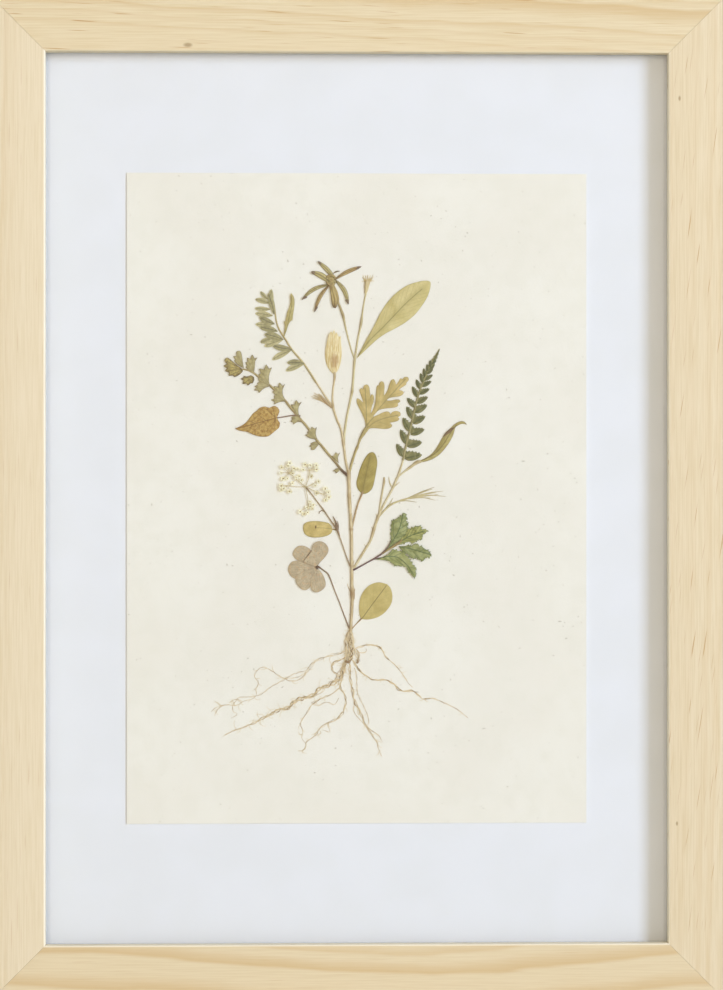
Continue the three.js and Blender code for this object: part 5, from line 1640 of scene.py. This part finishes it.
serrated_parts = []
for index, (points, rib_points, plain, layer, tint) in enumerate(serrated_leaflets):
    outline = toothed_edge(points, plain)
    rib = smooth_line(rib_points)
    rib = rib[inside_of(rib, outline)]
    serrated_parts.append(pressed_sheet(
        f"serrated_{index + 1}", outline, serrated_skins[tint], [rib], pairs=(7, 0.75, 0.85),
        rest=0.15 + 0.16 * layer, crown=0.3, wave=0.55, relief=0.16, grid=0.42, thick=0.18,
    ))
purple_stalk = dried_stalk("purple_stalk", (148, 118, 106), (112, 82, 80), (74, 50, 56), 0.35)
brown_stalk = dried_stalk("brown_stalk", (188, 166, 108), (154, 132, 82), (112, 84, 56), 0.4, 0.5)
serrated_stalk = [
    [(1.2, 27.2, 0.9, 0.7), (4.6, 29, 0.7, 0.4), (10, 32, 0.7, 0.3), (14.9, 35, 0.75, 0.2),
        (17, 36.4, 0.4)],
    [(14.4, 34.8, 0.7, 0.3), (16.6, 37.4, 0.5), (18.4, 40.6, 0.35)],
    [(10.4, 32.2, 0.7, 0.3), (14, 32.8, 0.5), (18, 32.9, 0.35)],
]
upper_run = [
    (14.2, 34.5, 0.6, 0.5), (16.4, 36, 0.8, 0.2), (18.4, 37.3, 1, 0.2), (20.8, 38.8, 1.3, 0.1),
    (22.2, 39.8, 1.1, 0.3), (24, 41.2, 0.5),
]
serrated_parts += [
    stalks("serrated_stalk", serrated_stalk, purple_stalk, rest=0.55, wander=0.2),
    stalks("serrated_upper_stalk", [upper_run], brown_stalk, rest=0.65, wander=0.3),
]
one_piece("serrated_leaf", serrated_parts)


# Long oval leaf
# A blunt oblong leaf standing beside the main stem, olive, darker at the rim, on a red-brown stalk.
long_skin = leaf_finish(
    "long_oval_leaf", (194, 175, 100), (170, 151, 80), (142, 126, 70), (136, 126, 66), mottle=0.24,
    rim_mm=0.6, vein=0.3, band_mm=1.6,
)
long_outline = smooth_line([
    (5.9, 62), (4.2, 63), (3, 64.9), (2.7, 67.4), (3.4, 70.4), (4.4, 73.8), (5.9, 77.2), (7.8, 80.1),
    (9.2, 81), (10.6, 80.9), (11.7, 79.2), (12.2, 76.2), (11.8, 73), (10.8, 67.6), (9.8, 64.4), (8, 62.6),
], True)
long_rib = smooth_line([(5.4, 62.6), (6.4, 68), (7.6, 73.4), (8.8, 78.8)])
red_stalk = dried_stalk("red_stalk", (208, 184, 138), (178, 148, 106), (134, 96, 68))
long_petiole = [
    (5.6, 63.2, 0.8, 0.2), (5, 61.4, 0.9, 0.3), (3.6, 58.2, 0.8), (2.5, 54.4, 0.8, 0.2), (1.4, 50, 0.8),
    (0.3, 45, 0.8, 0.3),
]
one_piece("long_oval_leaf", [
    pressed_sheet(
        "long_oval_leaf", long_outline, long_skin, [long_rib], pairs=(9, 0.85), rest=0.1, crown=0.3,
        wave=0.3,
    ),
    stalks("long_petiole", [long_petiole], red_stalk, rest=0.25),
])


# Lobed leaf
# A deeply lobed leaf, rounded at the end of every lobe, dried tan with olive towards its stalk. A
# vein runs into each lobe.
lobed_skin = leaf_finish(
    "lobed_leaf", (221, 197, 132), (197, 175, 110), (158, 143, 92), (162, 142, 88), mottle=0.18, patchy=1.1,
    rim_mm=0.4, rim_share=0.5, net=0.16, vein=0.35,
)
lobed_outline = smooth_line([
    (6.6, 90.4), (6.8, 93.2), (6.4, 95.8), (4.9, 99.4), (3, 103), (2.7, 105), (3.1, 105.7), (4.2, 105.2),
    (5.6, 103.9), (5.2, 105.8), (4.3, 108.2), (4.2, 109.6), (4.8, 110.4), (5.6, 109.9, 1), (6, 111.2),
    (7.1, 112), (8.3, 111.3), (8.8, 108.8), (9, 106.4), (9.6, 107.5), (10.4, 107.1), (10.6, 104.6),
    (9.6, 101.4), (9.3, 98.9), (10.4, 101), (11.3, 104), (11.6, 107.6), (11.8, 110.6), (12.2, 111.6),
    (12.9, 111.6, 1), (13.3, 112.9), (14.4, 113.5), (15.4, 112.2), (15.4, 109.4), (15.4, 107.2),
    (16.8, 109.4), (17.8, 112.2), (18.6, 114), (19.8, 114.4), (20.5, 113.1), (20.9, 111.9, 1),
    (21.9, 113.4), (22.8, 114.8), (23.7, 114.4, 1), (24.6, 115.4), (26.1, 115.4), (26.6, 114.2),
    (25.6, 112.9, 1), (25.3, 111.9), (24.2, 111.1, 1), (22.9, 110.3), (22.3, 109.5), (23.6, 109.1),
    (24.3, 108.3), (23.6, 107.2), (22, 106.5), (20, 106.3), (17.8, 105.8), (16.6, 104.8), (18.4, 104.7),
    (20.4, 105.1), (22.2, 105.1), (22.7, 104.3), (21.5, 103.3, 1), (21.7, 102.4), (20.6, 101.6),
    (18.4, 101.3), (15.8, 101), (12.9, 100.2), (10.4, 97.4), (12.4, 98.1), (14.4, 99.1), (16.4, 99.7),
    (17.7, 99.4), (18.2, 98.4, 1), (19.2, 99.5), (21, 99.9), (22.6, 99.3), (22.8, 98), (21.6, 97, 1),
    (22.3, 96.3), (21.4, 95.3), (19.8, 94.9), (18, 94.5, 1), (19, 93.2), (17.8, 92), (15.2, 91.7),
    (11.8, 92), (8.6, 91.8), (7.4, 90.2),
], True, 0.35)
lobed_ribs = [smooth_line(line) for line in (
    [(7, 90.8), (8, 94), (10.4, 97), (13.2, 101.2), (17, 105.6), (21, 110), (25, 114.4)],
    [(7.4, 92), (7.2, 98), (7, 104), (6.6, 110.4)], [(7.8, 92.2), (11, 94.8), (15.6, 96.6), (21.6, 98)],
)]
lobed_veins = [smooth_line(line) for line in (
    [(7.2, 98), (5.6, 101.4), (3.8, 104.6)], [(7.1, 101), (8.6, 103.6), (9.9, 106)],
    [(12.2, 99.8), (12.9, 104), (13.5, 111.6)], [(14.8, 103.2), (17.6, 108), (19.2, 113)],
    [(15.2, 103.5), (18.2, 103.6), (22, 104.2)], [(18.2, 107), (20.8, 107.6), (23.2, 108.2)],
    [(11.8, 95.2), (15, 94.2), (17.8, 93.2)], [(8.8, 92.8), (12, 93.1), (15, 92.9)],
)]
lobed_petiole = [
    [
        (-1, 70.2, 1, 0.2), (-0.2, 73, 1), (0.4, 75.6, 1.2, 0.1), (1.9, 80.4, 1.1), (3.1, 83.4, 1.3, 0.3),
        (3.5, 84.6, 1, 0.1), (4.4, 87.2, 1.2), (6.2, 90.2, 1.9), (7.4, 92.6, 1.3), (8, 94.6, 0.4),
    ],
    [(3, 83.2, 0.7, 0.3), (2.1, 82, 0.5, 0.3), (1.6, 80.8, 0.3, 0.3)],
]
olive_stalk = dried_stalk("olive_stalk", (202, 186, 128), (172, 152, 96), (136, 104, 66), 0.3)
one_piece("lobed_leaf", [
    pressed_sheet(
        "lobed_leaf", lobed_outline, lobed_skin, lobed_ribs, within(lobed_veins, lobed_outline), rest=0.1,
        crown=0.25, wave=0.4, grid=0.5,
    ),
    stalks("lobed_petiole", lobed_petiole, olive_stalk, rest=0.05),
])


# Fern frond
# One fern frond tapering to a point. Its pinnae stand in pairs, the right ones level and the left
# ones swept up, each toothed on its upper edge, leathery and dark grey-green.
fern_skin = leaf_finish(
    "fern_pinna", (164, 155, 103), (130, 127, 75), (78, 82, 48), (80, 84, 50), mottle=0.5, patchy=1.2,
    rim_mm=0.3, rim_share=0.5, net=0.35, spot=(146, 146, 106), spot_share=0.4, rough=0.6,
)
fern_right = [
    ((24.4, 78.2), (32.7, 79.9), 4.4), ((25.7, 83.7), (32.7, 85.7), 3.9), ((27.3, 89.1), (33.8, 91.6), 3.5),
    ((28.4, 94), (34.2, 97.6), 3.5), ((29.3, 99), (35, 102.8), 3.5), ((30.2, 103.3), (35.4, 106.4), 2.9),
    ((31.3, 107.5), (36.1, 110.1), 2.5), ((32.5, 110.9), (37, 113.6), 2.3),
    ((33.6, 113.7), (37.6, 116.5), 2.1), ((34.7, 116.6), (37.7, 119.3), 1.9),
    ((36, 118.7), (38.5, 121.2), 1.7), ((37, 121), (39.1, 123.2), 1.4),
]
fern_left = [
    ((24, 78.7), (21, 85), 3.3), ((25.5, 84.6), (22.8, 91.5), 3.4), ((27.2, 90.2), (23.9, 96.9), 3.6),
    ((28.6, 95.9), (25.6, 102), 3.3), ((29.5, 101.4), (25.8, 105.9), 2.8),
    ((30.5, 106), (28.2, 111.2), 2.6), ((31.7, 109.8), (29.9, 114.4), 2.3),
    ((32.9, 112.7), (31.9, 117.3), 2.1), ((34, 115.1), (33.4, 119.5), 2),
    ((35.3, 117.3), (34.9, 121.4), 1.8), ((36.4, 119.4), (36.4, 123.3), 1.6),
]


def pinna(base, tip, wide, hand):
    """A fern pinna's outline: a bowed lower edge, and an upper edge with a shoulder and fine teeth."""
    base, tip = np.array(base, float), np.array(tip, float)
    long = tip - base
    side = np.array((-long[1], long[0])) / np.linalg.norm(long) * hand
    upper = [
        (0.03, 0.04), (0.08, 0.34), (0.14, 0.58), (0.2, 0.68, 1), (0.27, 0.55), (0.36, 0.64, 1),
        (0.44, 0.48), (0.54, 0.56, 1), (0.61, 0.36), (0.71, 0.44, 1), (0.77, 0.24), (0.87, 0.3, 1),
        (0.92, 0.12),
    ]
    lower = [(0.9, -0.16), (0.66, -0.32), (0.42, -0.36), (0.2, -0.28), (0.08, -0.14)]
    teeth = [(*(base + long * share + side * wide * out), *sharp) for share, out, *sharp in upper]
    belly = [base + long * share + side * wide * out for share, out in lower]
    return smooth_line([(*base, 1), *teeth, (*tip, 1), *belly], True, 0.35)


fern_parts = []
for side_name, pinnae, hand in (("right", fern_right, 1), ("left", fern_left, -1)):
    for index, (base, tip, wide) in enumerate(pinnae):
        outline = pinna(base, tip, wide * 1.12, hand)
        foot = outline[0]
        rib = smooth_line([foot + (np.array(tip) - foot) * share for share in (0.1, 0.5, 0.85)])
        fern_parts.append(pressed_sheet(
            f"fern_{side_name}_{index + 1}", outline, fern_skin, [rib], pairs=(5, 0.7),
            rest=0.1 + 0.05 * (index % 3), wave=0.25, relief=0.1, grid=0.42, thick=0.2,
        ))
outline, rib = leaflet((34.6, 116.4), (40.8, 128.2), 2.1, 0, 0.36, 0.9, teeth=8, tooth=0.8)
fern_stalk = dried_stalk("fern_stalk", (184, 172, 122), (146, 134, 88), (108, 92, 60), 0.25)
fern_rachis = [[
    (23.9, 77.4, 1), (25.3, 83.8, 1), (27.9, 94.6, 0.95), (29.9, 103.2, 0.9), (32.5, 111.4, 0.8),
    (35.2, 117.6, 0.7), (37.9, 123.4, 0.6), (39.6, 126.6, 0.5), (40.6, 128.4, 0.3),
]]
fern_parts += [
    pressed_sheet("fern_tip", outline, fern_skin, [rib], rest=0.2, wave=0.2, grid=0.4, thick=0.2),
    stalks("fern_rachis", fern_rachis, fern_stalk, rest=0.1),
]
one_piece("fern_frond", fern_parts)


# Curled leaf
# A narrow leaf that bows out to the right and curls over into a thin hooked tip. Its upper edge
# folds over near the end, brown along the fold, and its stalk joins the right branch.
curled_skin = leaf_finish(
    "curled_leaf", (204, 189, 121), (180, 163, 97), (124, 110, 66), (128, 106, 74), mottle=0.3, rim_mm=0.45,
    rim_share=0.55, net=0.2, vein=0.35, spot=(130, 104, 76), spot_share=0.4,
)
curled_outline = smooth_line([
    (29.9, 76.2, 1), (32.2, 76.4), (34.6, 76.9), (37.4, 77.9), (40, 79.5), (42.2, 81.6), (44.4, 84.4),
    (46.4, 87.8), (47.4, 90.4), (48, 92.4), (49.9, 93.7), (51.6, 94.1), (53.2, 93.6, 1), (52.4, 94.7),
    (51, 95.3), (49.2, 94.9), (47.4, 93.7), (45.2, 91.6), (43.2, 89.7), (41.6, 87.2), (40.2, 84.6),
    (38.4, 81.8), (36.2, 79.6), (33.8, 78.2), (31.6, 77.2),
], True)
curled_rib = smooth_line([
    (31, 76.8), (35, 78.4), (39, 80.9), (42.2, 84.4), (44.6, 88.2), (46.6, 91.4), (48.6, 93.6),
])
fold_outline = leaflet((42.4, 88.1), (47.5, 92.4), 1.3, 0.2, 0.55, 0.6)[0]
fold_skin = leaf_finish(
    "curled_fold", (156, 128, 92), (124, 98, 72), (98, 74, 54), (104, 80, 60), mottle=0.6, net=0.15,
)
curled_petiole = [
    [
        (20.6, 68.8, 0.9), (22.6, 70.6, 0.8, 0.1), (25.4, 72.8, 0.9), (27.3, 74.2, 1.3, 0.45),
        (29, 75.4, 1.2, 0.2), (30.6, 76.4, 1.5, 0.6), (32.6, 77.1, 1.2, 0.3), (35, 78.3, 0.6, 0.1),
    ],
    [(27.3, 74.4, 0.4, 0.3), (29.2, 76.4, 0.5, 0.4), (31, 77.6, 0.3, 0.3)],
]
one_piece("curled_leaf", [
    pressed_sheet(
        "curled_leaf", curled_outline, curled_skin, [curled_rib], pairs=(9, 0.5), rest=0.1, crown=0.3,
        wave=0.45, grid=0.45,
    ),
    pressed_sheet("curled_fold", fold_outline, fold_skin, rest=0.75, wave=0.2, grid=0.4, thick=0.14),
    stalks("curled_petiole", curled_petiole, right_wood, rest=0.05),
])


# Spiky tuft
# A dry side shoot that breaks into a brush of narrow pointed bracts.
spiky_runs = [
    [(12.9, 51.6, 0.8, 0.1), (16.1, 55, 0.8), (18.6, 57.2, 0.9, 0.15), (22, 58.7, 0.8), (26, 59.9, 0.8),
        (30, 60.9, 0.6), (34, 61.4, 0.3)],
    [(17.2, 56.2, 0.6, 0.1), (18.2, 58, 0.5), (19.2, 60.1, 0.25, 0.2)],
    [(15.6, 54.4, 0.5, 0.2), (17.2, 57.2, 0.3, 0.2)],
]
for start, bend, tip, wide, dark in (
    ((25.5, 59.8), (32.2, 62.8), (38.3, 65.1), 0.5, 0.5),
    ((28.5, 60.6), (33.2, 62.8), (37.4, 64.2), 0.4, 0.2), ((27, 60.2), (35, 62.3), (42.4, 63.3), 0.45, 0.2),
    ((28, 60.5), (34, 61.9), (39, 62.5), 0.5, 0.1), ((29, 60.8), (36, 61.4), (43.6, 60.8), 0.45, 0.2),
    ((27, 60.2), (34, 61), (40, 61.7), 0.5, 0.05), ((28, 60.3), (33.4, 60.3), (38.7, 59.1), 0.45, 0.3),
    ((25, 59.6), (31, 60.2), (36.4, 60.2), 0.4, 0.1), ((21.4, 58.4), (25.4, 58.9), (30.2, 58.2), 0.45, 0.3),
):
    spiky_runs.append([(*start, wide, dark * 0.4), (*bend, wide, dark * 0.6), (*tip, 0.18, dark)])
spiky_skin = dried_stalk("spiky_stalk", (222, 208, 160), (192, 174, 124), (116, 92, 60), 0.3)
spiky_tuft = stalks("spiky_tuft", spiky_runs, spiky_skin, wander=0.25, flat=0.5, rest=0.05)
one_piece("spiky_tuft", [spiky_tuft])


# Root crown
# Where stem turns to root: a bundle of pale strands plaited by growth into a short swollen rope, with
# loose fibres standing off it and a little dark soil caught at its foot.
root_skin = dried_stalk("root_fibre", (252, 236, 198), (230, 205, 156), (132, 98, 62), 0.4, 0.25)
hair_skin = dried_stalk("root_hair", (240, 226, 188), (220, 198, 152), (168, 138, 96), 0.3, 0.2)
root_chance = np.random.default_rng(31)
strand_step_mm = 0.9
thinnest_mm = 0.14
hair_mm = 0.17
hair_steps = 5


def strands(path, count, spread, wide, dark=0.15, wave_mm=3.2):
    """Roots that run beside and round each other along one path of (right, up) points."""
    line = smooth_line(path, False, strand_step_mm)
    ahead = np.gradient(line, axis=0)
    length = np.maximum(np.linalg.norm(ahead, axis=1), 1e-6)[:, None]
    side = np.stack([-ahead[:, 1], ahead[:, 0]], 1) / length
    along = np.arange(len(line)) * strand_step_mm
    taper = np.clip((along[-1] - along) / max(along[-1], 1e-6) * 1.5 + 0.2, 0.25, 1)
    runs = []
    for strand in range(count):
        phase = root_chance.uniform(0, math.tau)
        turns = along / wave_mm * root_chance.uniform(0.7, 1.4)
        sway = np.sin(turns * 2 + phase) * 0.6 + np.sin(turns * 5.1 + phase * 2) * 0.25
        shift = side * (sway * spread / 2 * np.clip(along / 2, 0, 1) * taper)[:, None]
        stains = dark + np.clip(np.sin(along * 0.9 + phase * 3) * 1.6 - 0.6, 0, 1) * 0.8
        girth = wide * root_chance.uniform(0.65, 1.05) * taper * (1 + 0.2 * np.sin(along * 2.1 + phase))
        girth = np.maximum(thinnest_mm, girth)
        runs.append([(*spot, size, stain) for spot, size, stain in zip(line + shift, girth, stains)])
    return runs


def root_hairs(path, count, longest):
    """Fine hairs that leave a root to either side and curl."""
    line = smooth_line(path, False, 0.5)
    runs = []
    for hair in range(count):
        index = int(root_chance.integers(1, len(line) - 2))
        ahead = math.atan2(*(line[index + 1] - line[index])[::-1])
        lean = ahead + root_chance.choice((-1, 1)) * root_chance.uniform(0.4, 1.5)
        curl = root_chance.uniform(-0.35, 0.35)
        long = longest * root_chance.uniform(0.35, 1)
        spot = line[index].copy()
        run = [(*spot, hair_mm * 1.2, 0.1)]
        for step in range(hair_steps):
            lean += curl + root_chance.uniform(-0.25, 0.25)
            spot = spot + np.array((math.cos(lean), math.sin(lean))) * long / hair_steps
            run.append((*spot, hair_mm * (1 - 0.1 * step), 0.1))
        runs.append(run)
    return runs


def root_piece(node, thick_runs, hair_runs, rest=0.0, painted_shade_runs=()):
    """A root of strands and hairs, and where it is thick, dark strands behind them that show in the gaps
    between strands as painted shade.
    """
    parts = []
    if painted_shade_runs:
        parts.append(stalks(
            f"{node}_gaps", painted_shade_runs, root_skin, wander=0.6, wander_length=1.6, bumps=0.6, sides=6,
        ))
    parts += [
        stalks(
            f"{node}_strands", thick_runs, root_skin, wander=0.45, wander_length=2.2, flat=0.7, bumps=0.5,
            rest=rest, sides=8,
        ),
        stalks(
            f"{node}_hairs", hair_runs, hair_skin, wander=0.5, wander_length=1.8, flat=0.9, bumps=0.3,
            rest=rest + 0.05, sides=5, step=0.6,
        ),
    ]
    one_piece(node, parts)


crown_path = [(-0.7, -14.8), (-0.2, -12), (0, -9), (-0.3, -6), (-0.5, -3), (-0.3, 0.6)]
crown_runs = strands(crown_path, 8, 3.6, 0.3, 0, 4.4)
crown_runs += strands([
    (-0.2, 0), (0.8, -3.4), (1.5, -7.6), (2.4, -10.6), (3.6, -12.8), (3.2, -14.8),
], 4, 1.9, 0.32, 0, 3.6)
crown_runs += strands([
    (-0.6, -0.4), (-1.6, -3.6), (-2.2, -7), (-2, -11), (-2.6, -15), (-3.4, -19),
], 4, 1.9, 0.32, 0.05, 3.6)
# Painted shade: dark strands under the crown that show in the gaps between the pale ones.
crown_shade_strands = strands(crown_path, 8, 3, 0.6, 1, 3.8)
crown_runs += [
    [(-2.2, -14.2, 0.9, 0.9), (-1.2, -14.9, 1.2, 1), (-0.2, -14.3, 0.9, 0.9)],
    [(2.8, -13.4, 0.7, 0.6), (3.4, -14.4, 0.9, 0.9), (2.8, -15.4, 0.7, 0.8)],
    [(3, -9.6, 0.4, 0.2), (4, -11.4, 0.5, 0.4), (3.6, -13.6, 0.4, 0.6)],
    [(-1.2, -1.4, 0.5, 0.7), (-1.6, -3.4, 0.4, 0.6), (-1.4, -5.6, 0.3, 0.5)],
]
crown_hairs = root_hairs(crown_path, 26, 4.5) + root_hairs([(-2, -8), (-2.6, -14), (-3.4, -19)], 16, 6)
root_piece("root_crown", crown_runs, crown_hairs, 0.45, crown_shade_strands)


# Roots
# Seven wiry roots leave the crown, each of a few twisted strands with finer side roots and hairs.
# They are straw-coloured, browned in places, and lie flat on the card.
root_paths = {
    "root_left_upper": (
        [
            ([(-1.8, -9.6), (-5, -10.9), (-10.2, -12.5), (-15, -13.3), (-17.9, -15.8), (-20, -18.7),
                (-22, -21.9), (-27.8, -23.5), (-30.2, -22.5), (-35.1, -19.4),
                (-40.3, -17), (-41.9, -17.8), (-44, -21.1), (-42.1, -24.3), (-43.1, -26.8), (-43.4, -30.1),
                (-45.2, -31.7), (-49.2, -32.8), (-52.5, -34.6),
                (-57.4, -34.3), (-61.9, -35.7), (-63.5, -37.4)], 1, 0.4, 0.42),
            ([(-20, -18.7), (-26.1, -20.3), (-31, -23.1), (-36.3, -26), (-42.4, -30.1), (-51, -31),
                (-52.5, -32.8), (-53.9, -34.5), (-53.5, -37.4), (-51.7, -38.5),
                (-54.5, -40.4)], 1, 0.3, 0.36),
            ([(-4, -10.6), (-11, -12.2), (-16.4, -15.2), (-19.4, -18.9), (-24, -21.6), (-29.8, -22.4)], 1,
                0.6, 0.3),
            ([(-57.4, -34.3), (-60.4, -35.9), (-62.2, -39.2)], 1, 0.3, 0.25),
            ([(-49.2, -32.8), (-52.6, -31.8), (-55.4, -33.4)], 1, 0.2, 0.25),
        ], 34, 4,
    ),
    "root_left_long": (
        [
            ([(-2, -13.6), (-2.9, -17.3), (-5, -22.6), (-10.6, -25.7), (-13.9, -27.1), (-18.8, -30.6),
                (-23.2, -31.7), (-26.1, -33.3), (-28.1, -35.5), (-32.2, -36.4),
                (-36.3, -38.5), (-40.3, -40.5), (-46, -43.5), (-52.5, -45.7), (-57.4, -48.1)], 3, 1.5,
                    0.75),
            ([(-2, -12.4), (-5, -13.7), (-7.4, -15.2), (-8.8, -17), (-7.6, -19.4), (-5.8, -20.6),
                (-5.2, -22.8), (-5.8, -25.2)], 2, 0.8, 0.6),
            ([(-3.2, -16.6), (-5.4, -20.4), (-8.6, -24), (-13.4, -28.4), (-18, -31.4)], 2, 1.4, 0.4),
        ], 46, 5,
    ),
    "root_left_lower": (
        [
            ([(-5.2, -26.8), (-8.6, -29.2), (-11.8, -30.8), (-17.5, -34.2), (-19.6, -37.4), (-22.8, -42.6),
                (-21.9, -46.7), (-22.4, -49.6), (-20.8, -51.6)], 1, 0.4, 0.4),
            ([(-13, -31.4), (-16.2, -32.4), (-18, -33.2), (-15, -34.6), (-11, -33.2), (-7.4, -34.2),
                (-5.4, -31.2)], 1, 0.4, 0.25),
        ], 12, 3,
    ),
    "root_left_down": (
        [
            ([(-3.6, -19.6), (-4.8, -26), (-3, -28.6), (-2.5, -34.6), (-3.5, -38.2), (-7, -41.2),
                (-8.7, -41.8), (-11.8, -43.5), (-14.7, -45.9), (-16.3, -48.3),
                (-20, -51.2), (-20.8, -54), (-22, -55.3), (-23.9, -55.2)], 2, 0.9, 0.6),
            ([(-8.7, -41.8), (-10.4, -43.8), (-9.6, -46.6), (-13.2, -45.8)], 1, 0.3, 0.22),
            ([(-14.4, -45.6), (-13.6, -47.4), (-16.2, -48.8)], 1, 0.3, 0.3),
        ], 20, 3.4,
    ),
    "root_down": (
        [
            ([(-0.4, -14.8), (-0.2, -21.6), (0.5, -26), (1.8, -32.5), (4, -36.9), (7.4, -44.6), (10, -48.6),
                (12.2, -51.7), (12.7, -54.3), (14.1, -58)], 2, 0.9, 0.75),
            ([(7, -43.8), (9.8, -46.4), (12.7, -48.2), (14.4, -51.4)], 1, 0.3, 0.5),
            ([(1.6, -17.4), (2.6, -20.6), (3.1, -28.6), (5.7, -34.6), (8.3, -41.2), (7.4, -44.6)], 1, 0.5,
                0.35),
            ([(2.2, -31.6), (1.4, -36.4), (2.8, -39.6), (6.4, -43.4)], 1, 0.4, 0.28),
        ], 22, 3.4,
    ),
    "root_right_upper": (
        [
            ([(0.6, -9.8), (3.1, -8.3), (7.9, -7), (12.2, -7.8), (14.4, -9.2), (16.6, -12.9), (21, -16.9),
                (23.5, -19.9), (26.1, -24.1), (28.3, -26.4)], 2, 0.45, 0.5),
            ([(2.6, -9), (4.4, -10.7), (6.4, -10.4), (7.4, -9.4), (6.8, -8.8)], 1, 0.2, 0.5),
            ([(1.8, -9.4), (2.2, -11.6), (4.1, -14.1), (2.7, -15)], 1, 0.3, 0.5),
        ], 10, 2.4,
    ),
    "root_right_long": (
        [
            ([(0.6, -13.8), (3.1, -17.2), (5.7, -20.3), (9.1, -22.5), (14.8, -23.1), (19.6, -24.6),
                (22.7, -27.9), (28.3, -28.1), (33.2, -31.6), (37.9, -31.6),
                (44.9, -34.6), (49.2, -36.9), (53.6, -40.3)], 2, 0.6, 0.7),
        ], 16, 2.6,
    ),
}
for node, (paths, hair_count, longest) in root_paths.items():
    thick_runs = []
    for path, count, spread, wide in paths:
        thick_runs += strands(path, count + 1, spread * 1.3 + 0.3, wide * 0.58)
    root_piece(node, thick_runs, root_hairs(paths[0][0], hair_count, longest))
